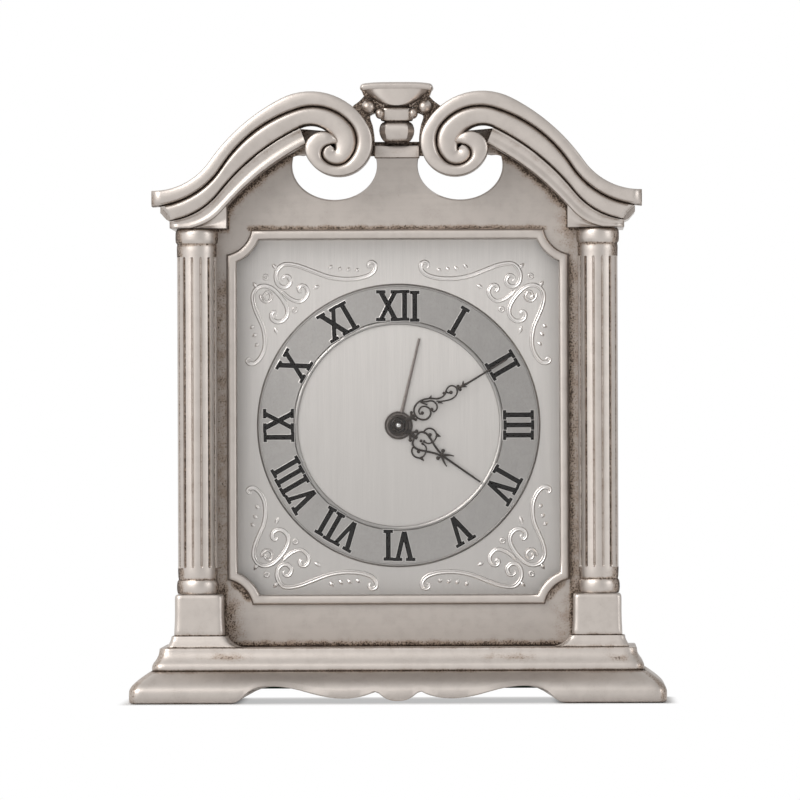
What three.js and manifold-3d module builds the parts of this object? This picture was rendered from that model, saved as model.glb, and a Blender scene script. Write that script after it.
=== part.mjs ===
// Desk alarm clock in an architectural silver case: a broken scroll pediment with an urn, two
// fluted columns on pedestals and a moulded base round a rectangular dial. A spring-driven alarm
// movement stands behind the dial and is wound and set from the back.
// Millimetres, +Z up, the dial faces -Y. Depths are counted from the front face of the panel.
import * as THREE from 'three';
import { mergeVertices } from 'three/addons/utils/BufferGeometryUtils.js';
import Module from 'manifold-3d';

const wasm = await Module();
wasm.setup();

// Clearances
const solderGap = 0.1;
const runningGap = 0.1;
const holeGap = 0.3;

// Dial opening in the front panel
const openingHalfWidth = 36.5;
const notchRadius = 5.6;
const mouldWidth = 1.7;
const mouldProud = 1.5;
const panelStrip = 1.6;
const panelThickness = 3;
const sillHeight = 11.7;
const headHeight = 2.8;

// Base mouldings, outward steps counted from the pedestals
const lipHeight = 2.4;
const ogeeHeight = 4.8;
const coveHeight = 5.1;
const lipOut = 10.1;
const coveFootOut = 5.1;
const coveTopOut = 3.4;
const edgeSoftening = 0.9;
const underHeight = 4.2;
const skirtWidth = 8;
const feltThickness = 1;

// Scrolled lower edge of the base
const footInnerX = 37.5;
const archTopX = 29.5;
const archHeight = 3.8;
const swagX = 12;
const swagHeight = 1;
const cuspX = 5;
const cuspHeight = 2.8;
const lobeHeight = 0.4;

// Pedestals and columns
const pedestalFootHeight = 2.5;
const pedestalFootOut = 1.7;
const pedestalHeight = 9.4;
const pedestalWidth = 10.9;
const pedestalBevel = 0.7;
const torusHeight = 3.2;
const torusRadius = 5.05;
const bandHeight = 2.6;
const shaftHeight = 70.2;
const shaftRadius = 4.3;
const bandRadius = 4.45;
const fluteCount = 14;
const fluteDepth = 0.55;
const neckHeight = 3.1;
const capitalHeight = 3.3;
const capitalRadius = 5.1;

// Case behind the panel
const caseBeyondColumn = 2.1;
const caseWall = 1;
const roofHeight = 5;
const roofOverhang = 3.4;
const roofStepHeight = 1.6;
const coverThickness = 1.2;
const baseBeyondCover = 0.5;
const bossLength = 8;
const bossSize = 4;
const screwRadius = 0.9;
const screwHeadRadius = 2;
const screwHeadHeight = 1.2;

// Scroll pediment, each edge a chain of tangent arcs: radius and sweep. Radii and the places of the
// crescents and the bar are shares of the tip's distance from the middle.
const tipOut = 4.9;
const tipRise = 8.4;
const middleTipOut = 3.4;
const middleTipRise = 5;
const lowerTipOut = 0.9;
const lowerTipRise = 1.7;
const scrollStepDepth = 1.5;
const arcStep = 18;
const chordLimit = 5;
const scrollForward = 0.6;
const outerShares = [[0.2787, -56.7], [0.809, 27.7], [0.2661, 90.3], [0.1376, 90], [0.143, 90]];
const outerHeading = 181.7;
const curlShare = 0.0706;
const curlSweep = 190;
const curlMeeting = 45;
const middleShares = [
  [0.3557, -51], [0.5629, 40.9], [0.2027, 63.6], [0.1122, 90], [0.0688, 90], [0.038, 125],
];
const middleHeading = 173.8;
const lowerShares = [[0.3077, -44.1], [0.9339, 26.2], [0.1014, 114.6]];
const lowerHeading = 172.4;
const spandrelInset = 11.85;
const spandrelRise = 4.9;
const undersideRadius = 60;
const crescentShare = [0.257, 0.2552];
const crescentHalfShare = [0.1712, 0.143];
const crescentTopShare = 0.2968;
const voluteShare = [0.2389, 0.324];
const voluteHideShare = 0.1122;
const barRiseShare = 0.286;

// Urn
const barHeight = 2.8;
const barInset = 1;
const urnFootRadius = 5;
const urnFootHeight = 0.9;
const bulbRadius = 4;
const bulbHeight = 4.4;
const urnNeckRadius = 2.4;
const collarGap = 0.4;
const collarRadius = 4.4;
const collarHeight = 3.1;
const bowlRadius = 7.6;
const bowlHeight = 3.9;
const rimRadius = 8.2;
const rimHeight = 1.5;
const urnFlatness = 0.62;
const beadRadius = 1.5;
const beadOut = 0.9;
const beadLinkHalf = 0.6;
const beadLinkRise = 1.05;

// Glass, dial and hands
const glassThickness = 1.2;
const glassLap = 1.2;
const glassFrameInset = 0.3;
const dialThickness = 0.8;
const dialDrop = 1.75;
const dialMargin = 0.4;
const dialScrewOut = 5.2;
const dialPostRadius = 2.2;
const ringOuterRadius = 32.2;
const ringInnerRadius = 22.9;
const ringThickness = 1;
const ringBevel = 0.5;
const handThickness = 0.4;
const handGap = 0.4;
const firstHandGap = 0.7;
const nutHeight = 0.7;
const glassClearance = 1;
const minuteHandLength = 29;
const hourHandLength = 22.5;
const alarmHandLength = 20.4;
const minuteHubRadius = 2.4;
const hourHubRadius = 2.8;
const alarmHubRadius = 3.1;
const restMinuteAngle = 58.8;
const restHourAngle = 124.9;
const restAlarmAngle = 13.6;

// Concentric tubes at the centre
const settingArborRadius = 0.7;
const tubeWall = 0.45;
const tubeSides = 12;

// Movement frame
const wheelGap = 0.4;
const wheelThickness = 0.6;
const pinionLength = 1.2;
const plateThickness = 1.2;
const trainSpace = 8;
const rearSpace = 6.5;
const plateHalfWidth = 28.6;
const plateRise = 29.6;
const plateDrop = 21.4;
const plateCorner = 4;
const pillarRadius = 1.6;
const pillarInset = 2.6;
const dialFootRadius = 1.4;
const arborRadius = 0.6;
const pivotRadius = 0.4;
const pivotLength = 0.8;

// Toothing, in shares of the module
const addendum = 0.6;
const dedendum = 1.1;

// Going train
const barrelTeeth = 36;
const centrePinionTeeth = 6;
const barrelModule = 0.66;
const centreTeeth = 48;
const thirdPinionTeeth = 6;
const centreModule = 0.4;
const thirdTeeth = 45;
const fourthPinionTeeth = 6;
const thirdModule = 0.4;
const fourthTeeth = 48;
const escapePinionTeeth = 6;
const fourthModule = 0.36;
const escapeTeeth = 15;
const escapeRadius = 4.2;
const escapeToothDepth = 1.1;
const palletDistance = 5.4;
const balanceDistance = 6.6;
const balanceRadius = 6.2;
const barrelAngle = 211.6;
const thirdAngle = 79.5;
const fourthAngle = 159.3;
const escapeAngle = 70.8;
const palletAngle = 176.5;
const balanceAngle = -161.4;

// Levels of the wheels behind the front plate
const centreWheelAt = 0.5;
const barrelAt = 1.8;
const barrelRimHeight = 1;
const barrelEndGap = 0.5;
const thirdWheelAt = 3.7;
const fourthWheelAt = 5.9;
const alarmEscapeAt = 4.6;
const pinionLead = 0.25;

// Levels behind the rear plate
const ratchetAt = 0.4;
const ratchetThickness = 1;
const escapeWheelAt = 0.9;
const balanceAt = 2.7;
const balanceRim = 0.9;
const rollerRadius = 1.2;
const hairspringAt = 4.1;
const cockAt = 5;
const cockThickness = 0.9;

// Barrels, springs and winding
const barrelWall = 0.8;
const windingArborRadius = 1.4;
const mainspringThickness = 0.35;
const mainspringTurns = 3.5;
const ratchetTeeth = 12;
const ratchetRadius = 4.4;
const ratchetToothDepth = 0.8;
const clickPivotOut = 2.4;
const clickRadius = 1.2;
const clickStudRadius = 0.6;
const clickLead = 38;
const clickNoseGap = 0.25;
const hairspringInner = 1.2;
const hairspringOuter = 4.2;
const hairspringTurns = 3;
const hairspringThickness = 0.2;

// Motion works and setting
const motionModule = 0.705;
const cannonTeeth = 8;
const minuteTeeth = 24;
const minutePinionTeeth = 8;
const hourTeeth = 32;
const alarmWheelTeeth = 24;
const alarmPinionTeeth = 8;
const minuteWheelAngle = 200;
const alarmSetAngle = 22.7;
const alarmSetRadius = 0.9;

// Alarm work
const alarmBarrelTeeth = 30;
const alarmEscapePinionTeeth = 6;
const alarmModule = 0.667;
const alarmEscapeTeeth = 12;
const alarmEscapeRadius = 3.8;
const alarmEscapeAngle = 53.6;
const hammerAngle = 0.3;
const hammerDistance = 5.6;
const hammerArm = 11;
const hammerArmWidth = 1;
const hammerLean = 72;
const hammerHeadRadius = 2.2;
const hammerHeadLength = 4;
const gongPostRadius = 1.2;
const strikeGap = 0.4;
const anchorSpread = 62;
const anchorArm = 4.2;
const anchorWidth = 1;
const stopPinX = 4;
const stopPinRise = 16;
const stopPinRadius = 1.2;
const stopHeadRadius = 2.4;
const stopHeadHeight = 2;
const stopReach = 4.5;

// Keys and knobs behind the cover
const keyStandOff = 1.2;
const keyHubLength = 5;
const keyHubRadius = 2.5;
const keyWingWidth = 13;
const keyWingHeight = 7;
const keyWingThickness = 1.6;
const knobStandOff = 1.2;
const knobLength = 4;
const knobRadius = 3.2;
const knobRibs = 14;

// Heights that follow from the stack of mouldings
const tierTop = lipHeight + ogeeHeight + coveHeight;
const pedestalBottom = tierTop + solderGap;
const pedestalTop = pedestalBottom + pedestalFootHeight + pedestalHeight;
const columnBottom = pedestalTop + solderGap;
const columnTop = columnBottom + torusHeight + bandHeight + shaftHeight + neckHeight + capitalHeight;
const corniceBottom = columnTop + solderGap;
const openingBottom = tierTop + sillHeight;
const openingTop = corniceBottom - headHeight;
const dialHeight = (openingBottom + openingTop) / 2 - dialDrop;

// Widths and forward projections
const columnX = openingHalfWidth + mouldWidth + panelStrip + capitalRadius;
const pedestalOuter = columnX + pedestalWidth / 2;
const caseHalfWidth = columnX + caseBeyondColumn;
const columnY = -(pedestalWidth / 2 - solderGap);
const pedestalFront = columnY - pedestalWidth / 2;
const baseHalfWidth = pedestalOuter + lipOut;
const baseFront = pedestalFront - lipOut;

// Depths behind the panel
const glassFront = panelThickness + solderGap;
const glassBack = glassFront + glassThickness;
const handSpace = firstHandGap + 3 * handThickness + 2 * handGap + nutHeight + glassClearance;
const dialFront = glassBack + handSpace;
const dialBack = dialFront + dialThickness;
const alarmHandBack = dialFront - firstHandGap;
const hourHandBack = alarmHandBack - handThickness - handGap;
const minuteHandBack = hourHandBack - handThickness - handGap;
const minuteHandFront = minuteHandBack - handThickness;
const alarmWheelAt = dialBack + wheelGap;
const hourWheelAt = alarmWheelAt + wheelThickness + wheelGap;
const minuteWheelAt = hourWheelAt + wheelThickness + 1.5 * wheelGap;
const frontPlateFront = minuteWheelAt + wheelThickness + 1.5 * wheelGap;
const frontPlateBack = frontPlateFront + plateThickness;
const rearPlateFront = frontPlateBack + trainSpace;
const rearPlateBack = rearPlateFront + plateThickness;
const caseBack = rearPlateBack + rearSpace;
const coverFront = caseBack + solderGap;
const coverBack = coverFront + coverThickness;
const baseBack = coverBack + baseBeyondCover;

// Places of the arbors, seen from the front and counted from the dial's centre
const centre = new THREE.Vector2(0, 0);
const timeBarrelPlace = away(centre, barrelModule * (barrelTeeth + centrePinionTeeth) / 2, barrelAngle);
const alarmBarrelPlace = new THREE.Vector2(-timeBarrelPlace.x, timeBarrelPlace.y);
const thirdPlace = away(centre, centreModule * (centreTeeth + thirdPinionTeeth) / 2, thirdAngle);
const fourthPlace = away(thirdPlace, thirdModule * (thirdTeeth + fourthPinionTeeth) / 2, fourthAngle);
const escapePlace = away(fourthPlace, fourthModule * (fourthTeeth + escapePinionTeeth) / 2, escapeAngle);
const palletPlace = away(escapePlace, palletDistance, palletAngle);
const balancePlace = away(palletPlace, balanceDistance, balanceAngle);
const motionDistance = motionModule * (cannonTeeth + minuteTeeth) / 2;
const hourModule = 2 * motionDistance / (hourTeeth + minutePinionTeeth);
const alarmSetModule = 2 * motionDistance / (alarmWheelTeeth + alarmPinionTeeth);
const minuteWheelPlace = away(centre, motionDistance, minuteWheelAngle);
const alarmSetPlace = away(centre, motionDistance, alarmSetAngle);
const alarmEscapeDistance = alarmModule * (alarmBarrelTeeth + alarmEscapePinionTeeth) / 2;
const alarmEscapePlace = away(alarmBarrelPlace, alarmEscapeDistance, alarmEscapeAngle);
const timeDrum = barrelModule * (barrelTeeth / 2 - dedendum) - holeGap;
const alarmDrum = alarmEscapeDistance - alarmEscapeRadius - holeGap;
const hammerPlace = away(alarmEscapePlace, hammerDistance, hammerAngle);
const hammerHeadPlace = away(hammerPlace, hammerArm, hammerLean);
const gongPostX = hammerHeadPlace.x + hammerHeadRadius + strikeGap + gongPostRadius;
const stopPinPlace = new THREE.Vector2(stopPinX, stopPinRise);
const cockPostPlace = away(balancePlace, balanceRadius + 2.4, 150);

// Nested radii of the tubes that carry the hands
const cannonBore = settingArborRadius + solderGap;
const cannonTube = cannonBore + tubeWall;
const hourBore = cannonTube + runningGap;
const hourTube = hourBore + tubeWall;
const alarmBore = hourTube + runningGap;
const alarmTube = alarmBore + tubeWall;

function degrees(angle) {
  return angle * Math.PI / 180;
}

function away(from, distance, angle) {
  const turn = degrees(angle);
  return new THREE.Vector2(from.x + distance * Math.cos(turn), from.y + distance * Math.sin(turn));
}

// Makes a solid of a closed geometry whose shared vertices are merged, with its faces outward.
function solid(geometry) {
  const bare = geometry.index ? geometry.toNonIndexed() : geometry.clone();
  bare.deleteAttribute('normal');
  bare.deleteAttribute('uv');
  const merged = mergeVertices(bare, 1e-4);
  const places = merged.attributes.position.array;
  const corners = merged.index.array;
  const kept = [];
  let volume = 0;
  for (let i = 0; i < corners.length; i += 3) {
    const [a, b, c] = [corners[i], corners[i + 1], corners[i + 2]];
    if (a === b || b === c || c === a) continue;
    const [p, q, r] = [a, b, c].map((k) => new THREE.Vector3().fromArray(places, 3 * k));
    volume += p.dot(q.cross(r));
    kept.push(a, b, c);
  }
  if (volume < 0) kept.reverse();
  const mesh = new wasm.Mesh({
    numProp: 3,
    vertProperties: Float32Array.from(places),
    triVerts: Uint32Array.from(kept),
  });
  return new wasm.Manifold(mesh);
}

function joined(...solids) {
  return solids.reduce((whole, next) => whole.add(next));
}

function cut(from, ...tools) {
  return tools.reduce((whole, next) => whole.subtract(next), from);
}

// Carries an outline in the X-Z plane from one depth to another.
function slab(shape, front, back, curveSegments = 4) {
  const geometry = new THREE.ExtrudeGeometry(shape, {
    depth: back - front,
    bevelEnabled: false,
    curveSegments,
  });
  geometry.rotateX(Math.PI / 2);
  geometry.translate(0, back, 0);
  return solid(geometry);
}

// Turns a profile of (radius, depth) about the Y axis through a place on the dial plane.
function turned(profile, sides, place = centre) {
  const points = profile.map(([radius, depth]) => new THREE.Vector2(radius, depth));
  const geometry = new THREE.LatheGeometry(points, sides);
  geometry.translate(place.x, 0, place.y);
  return solid(geometry);
}

// Turns a profile of (radius, height) about the Z axis, flattened front to back.
function upright(profile, sides, flatness = 1) {
  const points = profile.map(([radius, height]) => new THREE.Vector2(radius, height));
  const geometry = new THREE.LatheGeometry(points, sides);
  geometry.rotateX(Math.PI / 2);
  geometry.scale(1, flatness, 1);
  return solid(geometry);
}

function rod(radius, front, back, place, sides = 8) {
  return turned([[0, front], [radius, front], [radius, back], [0, back]], sides, place);
}

// A tool for a round hole, whose flats and not its corners lie at the radius.
function bore(radius, front, back, place, sides = 8) {
  return rod(radius / Math.cos(Math.PI / sides), front, back, place, sides);
}

function pipe(inner, outer, front, back, place) {
  const body = rod(outer, front, back, place, tubeSides);
  return body.subtract(bore(inner, front - 1, back + 1, place, tubeSides));
}

function block(x0, x1, y0, y1, z0, z1) {
  const geometry = new THREE.BoxGeometry(x1 - x0, y1 - y0, z1 - z0);
  geometry.translate((x0 + x1) / 2, (y0 + y1) / 2, (z0 + z1) / 2);
  return solid(geometry);
}

// Skins a stack of convex rings with equal point counts and closes both ends.
function loft(rings) {
  const count = rings[0].length;
  const places = rings.flat().flatMap((point) => [point.x, point.y, point.z]);
  const corners = [];
  for (let level = 0; level + 1 < rings.length; level += 1) {
    for (let i = 0; i < count; i += 1) {
      const a = level * count + i;
      const b = level * count + (i + 1) % count;
      corners.push(a, b, b + count, a, b + count, a + count);
    }
  }
  const last = (rings.length - 1) * count;
  for (let i = 1; i + 1 < count; i += 1) {
    corners.push(0, i + 1, i, last, last + i, last + i + 1);
  }
  const geometry = new THREE.BufferGeometry();
  geometry.setAttribute('position', new THREE.Float32BufferAttribute(places, 3));
  geometry.setIndex(corners);
  return solid(geometry);
}

function arcSteps(radius, sweep) {
  const angle = Math.abs(sweep);
  return Math.max(2, Math.ceil(angle / arcStep), Math.ceil(radius * degrees(angle) / chordLimit));
}

// Points along a chain of tangent arcs. Each arc has a radius and a sweep, positive to the left.
function arcChain(x, z, heading, arcs) {
  const points = [new THREE.Vector2(x, z)];
  let turn = degrees(heading);
  for (const [radius, sweep] of arcs) {
    const side = Math.sign(sweep);
    const from = points[points.length - 1];
    const hubX = from.x - side * radius * Math.sin(turn);
    const hubZ = from.y + side * radius * Math.cos(turn);
    const steps = arcSteps(radius, sweep);
    for (let i = 1; i <= steps; i += 1) {
      const now = turn + degrees(sweep) * i / steps;
      const place = [hubX + side * radius * Math.sin(now), hubZ - side * radius * Math.cos(now)];
      points.push(new THREE.Vector2(...place));
    }
    turn += degrees(sweep);
  }
  return points;
}

function rectangle(halfWidth, bottom, top, corner = 0) {
  const shape = new THREE.Shape();
  shape.moveTo(-halfWidth + corner, bottom);
  shape.lineTo(halfWidth - corner, bottom);
  if (corner) shape.absarc(halfWidth - corner, bottom + corner, corner, -Math.PI / 2, 0);
  shape.lineTo(halfWidth, top - corner);
  if (corner) shape.absarc(halfWidth - corner, top - corner, corner, 0, Math.PI / 2);
  shape.lineTo(-halfWidth + corner, top);
  if (corner) shape.absarc(corner - halfWidth, top - corner, corner, Math.PI / 2, Math.PI);
  shape.lineTo(-halfWidth, bottom + corner);
  if (corner) shape.absarc(corner - halfWidth, bottom + corner, corner, Math.PI, 1.5 * Math.PI);
  return shape;
}

// The dial opening: a rectangle whose corners are taken in by quarter circles.
function notchedOpening(grow) {
  const halfWidth = openingHalfWidth + grow;
  const bottom = openingBottom - grow;
  const top = openingTop + grow;
  const notch = notchRadius - grow;
  const shape = new THREE.Shape();
  const quarter = Math.PI / 2;
  shape.moveTo(-halfWidth + notch + grow, bottom);
  shape.lineTo(halfWidth - notch - grow, bottom);
  shape.absarc(openingHalfWidth, openingBottom, notch, 2 * quarter, quarter, true);
  shape.lineTo(halfWidth, top - notch - grow);
  shape.absarc(openingHalfWidth, openingTop, notch, 3 * quarter, 2 * quarter, true);
  shape.lineTo(-halfWidth + notch + grow, top);
  shape.absarc(-openingHalfWidth, openingTop, notch, 0, -quarter, true);
  shape.lineTo(-halfWidth, bottom + notch + grow);
  shape.absarc(-openingHalfWidth, openingBottom, notch, quarter, 0, true);
  return shape;
}

// A toothed wheel with pointed teeth, one of them at the angle turn in radians.
function toothOutline(teeth, module, turn) {
  const pitchRadius = teeth * module / 2;
  return pointedOutline(teeth, pitchRadius + addendum * module, pitchRadius - dedendum * module, turn);
}

function pointedOutline(teeth, tipRadius, rootRadius, turn) {
  const pitch = 2 * Math.PI / teeth;
  const points = [];
  for (let i = 0; i < teeth; i += 1) {
    for (const [radius, share] of [[tipRadius, 0], [rootRadius, 0.5]]) {
      const angle = turn + (i + share) * pitch;
      points.push(new THREE.Vector2(radius * Math.cos(angle), radius * Math.sin(angle)));
    }
  }
  return new THREE.Shape(points);
}

// A wheel with saw teeth, as on a ratchet.
function sawOutline(teeth, tipRadius, rootRadius) {
  const pitch = 2 * Math.PI / teeth;
  const points = [];
  for (let i = 0; i < teeth; i += 1) {
    for (const [radius, share] of [[rootRadius, 0], [tipRadius, 0.12]]) {
      const angle = (i + share) * pitch;
      points.push(new THREE.Vector2(radius * Math.cos(angle), radius * Math.sin(angle)));
    }
  }
  return new THREE.Shape(points);
}

function placed(shape, place, front, back, curveSegments = 1) {
  return slab(shape, front, back, curveSegments).translate([place.x, 0, place.y]);
}

// The turn of a wheel that meshes with one at another place, tooth into gap.
function meshTurn(teeth, turn, from, to, otherTeeth) {
  const line = Math.atan2(to.y - from.y, to.x - from.x);
  return line + Math.PI - ((turn - line) * teeth + Math.PI) / otherTeeth;
}

// A strip wound in a flat spiral about the Y axis.
function spiralStrip(inner, outer, turns, thickness, front, back, place) {
  const stepsPerTurn = 9;
  const steps = Math.round(turns * stepsPerTurn);
  const side = (offset) => Array.from({ length: steps + 1 }, (_, i) => {
    const radius = inner + (outer - inner) * i / steps + offset;
    const angle = 2 * Math.PI * i / stepsPerTurn;
    return new THREE.Vector2(radius * Math.cos(angle), radius * Math.sin(angle));
  });
  const shape = new THREE.Shape([...side(thickness / 2), ...side(-thickness / 2).reverse()]);
  return placed(shape, place, front, back);
}

// A bar in the X-Z plane from one place to another, with its width at each end.
function bar(from, to, startWidth, endWidth, front, back) {
  const along = to.clone().sub(from).normalize();
  const across = new THREE.Vector2(-along.y, along.x);
  const corner = (place, width) => place.clone().addScaledVector(across, width / 2);
  const points = [corner(from, -startWidth), corner(to, -endWidth)];
  points.push(corner(to, endWidth), corner(from, startWidth));
  return slab(new THREE.Shape(points), front, back);
}

const silver = { color: 0xb9afa8, roughness: 0.35, metalness: 1 };
const satinSilver = { color: 0xc9c6c2, roughness: 0.5, metalness: 1 };
const greySteel = { color: 0x8d8c8a, roughness: 0.4, metalness: 1 };
const bronze = { color: 0x3a2a20, roughness: 0.45, metalness: 0.8 };
const brass = { color: 0xb08d45, roughness: 0.35, metalness: 1 };
const steel = { color: 0x9a9a9c, roughness: 0.3, metalness: 1 };
const clearGlass = { color: 0xf4f8f8, roughness: 0.05, metalness: 0, transparent: true, opacity: 0.15 };
const greenFelt = { color: 0x2c3a30, roughness: 1, metalness: 0 };

const clock = new THREE.Group();
const movement = new THREE.Group();
movement.position.z = dialHeight;
clock.add(movement);

function addPiece(parent, name, body, finish) {
  const made = body.getMesh();
  const geometry = new THREE.BufferGeometry();
  geometry.setAttribute('position', new THREE.BufferAttribute(Float32Array.from(made.vertProperties), 3));
  geometry.setIndex(Array.from(made.triVerts));
  geometry.computeVertexNormals();
  const mesh = new THREE.Mesh(geometry, new THREE.MeshStandardMaterial(finish));
  mesh.name = name;
  parent.add(mesh);
  return mesh;
}

// One level of the base: a rectangle with softened front corners.
function baseRing(out, z) {
  const halfWidth = pedestalOuter + out;
  const front = pedestalFront - out;
  const corners = [
    [halfWidth, baseBack],
    [-halfWidth, baseBack],
    [-halfWidth, front + edgeSoftening],
    [-halfWidth + edgeSoftening, front],
    [halfWidth - edgeSoftening, front],
    [halfWidth, front + edgeSoftening],
  ];
  return corners.map(([x, y]) => new THREE.Vector3(x, y, z));
}

// The scrolled lower edge between the feet, closed below the floor line.
function apronShape() {
  const shape = new THREE.Shape();
  const below = -1;
  shape.moveTo(-footInnerX, below);
  shape.lineTo(-footInnerX, 0);
  const half = [
    [[footInnerX - 3, 0], [archTopX + 5, archHeight], [archTopX, archHeight]],
    [[archTopX - 8, archHeight], [swagX + 7, swagHeight], [swagX, swagHeight]],
    [[swagX - 3, swagHeight], [cuspX + 1, cuspHeight - 1], [cuspX, cuspHeight]],
    [[cuspX - 1.5, lobeHeight + 1], [cuspX / 2, lobeHeight], [0, lobeHeight]],
  ];
  for (const [first, second, end] of half) {
    shape.bezierCurveTo(-first[0], first[1], -second[0], second[1], -end[0], end[1]);
  }
  for (let i = half.length - 1; i >= 0; i -= 1) {
    const [first, second] = half[i];
    const end = i ? half[i - 1][2] : [footInnerX, 0];
    shape.bezierCurveTo(second[0], second[1], first[0], first[1], end[0], end[1]);
  }
  shape.lineTo(footInnerX, below);
  return shape;
}

function addBase() {
  const levels = [[0, lipOut], [lipHeight, lipOut]];
  const ogeeRun = lipOut - coveFootOut;
  for (const share of [0.3, 0.55, 0.8, 1]) {
    levels.push([lipHeight + ogeeHeight * share, lipOut - ogeeRun * share ** 1.5]);
  }
  const coveBottom = lipHeight + ogeeHeight;
  levels.push([coveBottom + coveHeight * 0.25, coveFootOut]);
  levels.push([coveBottom + coveHeight * 0.45, (coveFootOut + 2 * coveTopOut) / 3]);
  levels.push([tierTop, coveTopOut]);
  const whole = loft(levels.map(([z, out]) => baseRing(out, z)));
  const skirtHalf = baseHalfWidth - skirtWidth;
  const skirtFront = baseFront + skirtWidth;
  const under = block(-skirtHalf, skirtHalf, skirtFront, baseBack - skirtWidth, -1, underHeight);
  const apron = slab(apronShape(), baseFront - 1, skirtFront + 1, 5);
  addPiece(clock, 'base_plinth', cut(whole, under, apron), silver);
  const felt = block(-skirtHalf + holeGap, skirtHalf - holeGap, skirtFront + holeGap,
    baseBack - skirtWidth - holeGap, underHeight - solderGap - feltThickness, underHeight - solderGap);
  addPiece(clock, 'base_felt', felt, greenFelt);
}

function pedestalRing(out, z) {
  const half = pedestalWidth / 2 + out;
  const front = pedestalFront - out;
  const back = -solderGap;
  const corners = [
    [half, back],
    [-half, back],
    [-half, front + pedestalBevel],
    [-half + pedestalBevel, front],
    [half - pedestalBevel, front],
    [half, front + pedestalBevel],
  ];
  return corners.map(([x, y]) => new THREE.Vector3(x, y, z));
}

function pedestal() {
  const footTop = pedestalBottom + pedestalFootHeight;
  return loft([
    pedestalRing(pedestalFootOut, pedestalBottom),
    pedestalRing(pedestalFootOut * 0.85, pedestalBottom + pedestalFootHeight * 0.3),
    pedestalRing(pedestalFootOut * 0.5, pedestalBottom + pedestalFootHeight * 0.7),
    pedestalRing(pedestalFootOut * 0.45, footTop),
    pedestalRing(0, footTop + 0.01),
    pedestalRing(0, pedestalTop),
  ]);
}

// A shaft section with round hollows cut into a circle.
function fluteOutline() {
  const points = [];
  const pitch = 2 * Math.PI / fluteCount;
  const shares = [[-0.36, 0], [-0.17, 1], [0.17, 1], [0.36, 0]];
  for (let i = 0; i < fluteCount; i += 1) {
    for (const [share, depth] of shares) {
      const angle = (i + share) * pitch;
      const radius = shaftRadius - depth * fluteDepth;
      points.push(new THREE.Vector2(radius * Math.cos(angle), radius * Math.sin(angle)));
    }
  }
  return new THREE.Shape(points);
}

function column() {
  const torusTop = columnBottom + torusHeight;
  const bandTop = torusTop + bandHeight;
  const shaftTop = bandTop + shaftHeight;
  const neckTop = shaftTop + neckHeight;
  const foot = upright([
    [0, columnBottom],
    [torusRadius - 0.6, columnBottom],
    [torusRadius, columnBottom + torusHeight * 0.3],
    [torusRadius, columnBottom + torusHeight * 0.6],
    [torusRadius - 0.5, torusTop],
    [bandRadius, torusTop + 0.3],
    [bandRadius, bandTop],
    [0, bandTop],
  ], 16);
  const flutes = new THREE.ExtrudeGeometry(fluteOutline(), {
    depth: shaftHeight + 2 * solderGap,
    bevelEnabled: false,
  });
  flutes.translate(0, 0, bandTop - solderGap);
  const head = upright([
    [0, shaftTop],
    [bandRadius, shaftTop],
    [bandRadius, neckTop],
    [capitalRadius, neckTop + capitalHeight * 0.45],
    [capitalRadius, columnTop],
    [0, columnTop],
  ], 16);
  const whole = joined(foot, solid(flutes), head).translate([0, columnY, 0]);
  const wide = 2 * capitalRadius;
  return cut(whole, block(-wide, wide, -solderGap, wide, 0, columnTop + 1));
}

function addColumns() {
  for (const [name, side] of [['left', -1], ['right', 1]]) {
    addPiece(clock, `${name}_pedestal`, pedestal(), silver).position.x = side * columnX;
    addPiece(clock, `${name}_column`, column(), silver).position.x = side * columnX;
  }
}

const tipX = pedestalOuter + tipOut;
const atSize = (shares) => shares.map(([share, sweep]) => [share * tipX, sweep]);
const outerArcs = atSize(outerShares);
const middleArcs = atSize(middleShares);
const lowerArcs = atSize(lowerShares);
const curlRadius = curlShare * tipX;
const barRise = barRiseShare * tipX;
const outerStart = [tipX, corniceBottom + tipRise, outerHeading];
const middleStart = [pedestalOuter + middleTipOut, corniceBottom + middleTipRise, middleHeading];
const lowerStart = [pedestalOuter + lowerTipOut, corniceBottom + lowerTipRise, lowerHeading];
const spandrelX = pedestalOuter - spandrelInset;
const lowerEdge = arcChain(...lowerStart, lowerArcs);
const outerEdge = arcChain(...outerStart, outerArcs);
const voluteInner = Math.min(...outerEdge.map((point) => point.x));

// The scroll in three steps: the whole outline, the two upper bands, and the outermost band.
function scroll() {
  const back = -solderGap;
  const lowFront = columnY - capitalRadius - scrollForward;
  const midFront = lowFront - scrollStepDepth;
  const topFront = midFront - scrollStepDepth;
  const endSteps = [
    new THREE.Vector2(lowerStart[0], corniceBottom),
    new THREE.Vector2(lowerStart[0], lowerStart[1]),
    new THREE.Vector2(middleStart[0], lowerStart[1]),
    new THREE.Vector2(middleStart[0], middleStart[1]),
    new THREE.Vector2(tipX, middleStart[1]),
  ];
  const spandrel = new THREE.Vector2(spandrelX, corniceBottom + spandrelRise);
  const round = arcChain(...outerStart, [...outerArcs, [curlRadius, curlMeeting]]);
  const meeting = round[round.length - 1];
  const underside = arcBetween(meeting, spandrel, undersideRadius);
  const silhouette = [...endSteps, ...round, ...underside, new THREE.Vector2(spandrelX, corniceBottom)];
  const rise = lowerEdge.slice(0, 1 - arcSteps(...lowerArcs[2]));
  const bands = [...endSteps.slice(2), ...round, ...rise.reverse()];
  const whole = arcChain(...outerStart, [...outerArcs, [curlRadius, curlSweep]]);
  const middle = arcChain(...middleStart, middleArcs);
  const proud = [endSteps[4], ...whole, ...middle.reverse()];
  return joined(
    slab(new THREE.Shape(silhouette), lowFront, back),
    slab(new THREE.Shape(bands), midFront, back),
    slab(new THREE.Shape(proud), topFront, back),
  );
}

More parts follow.
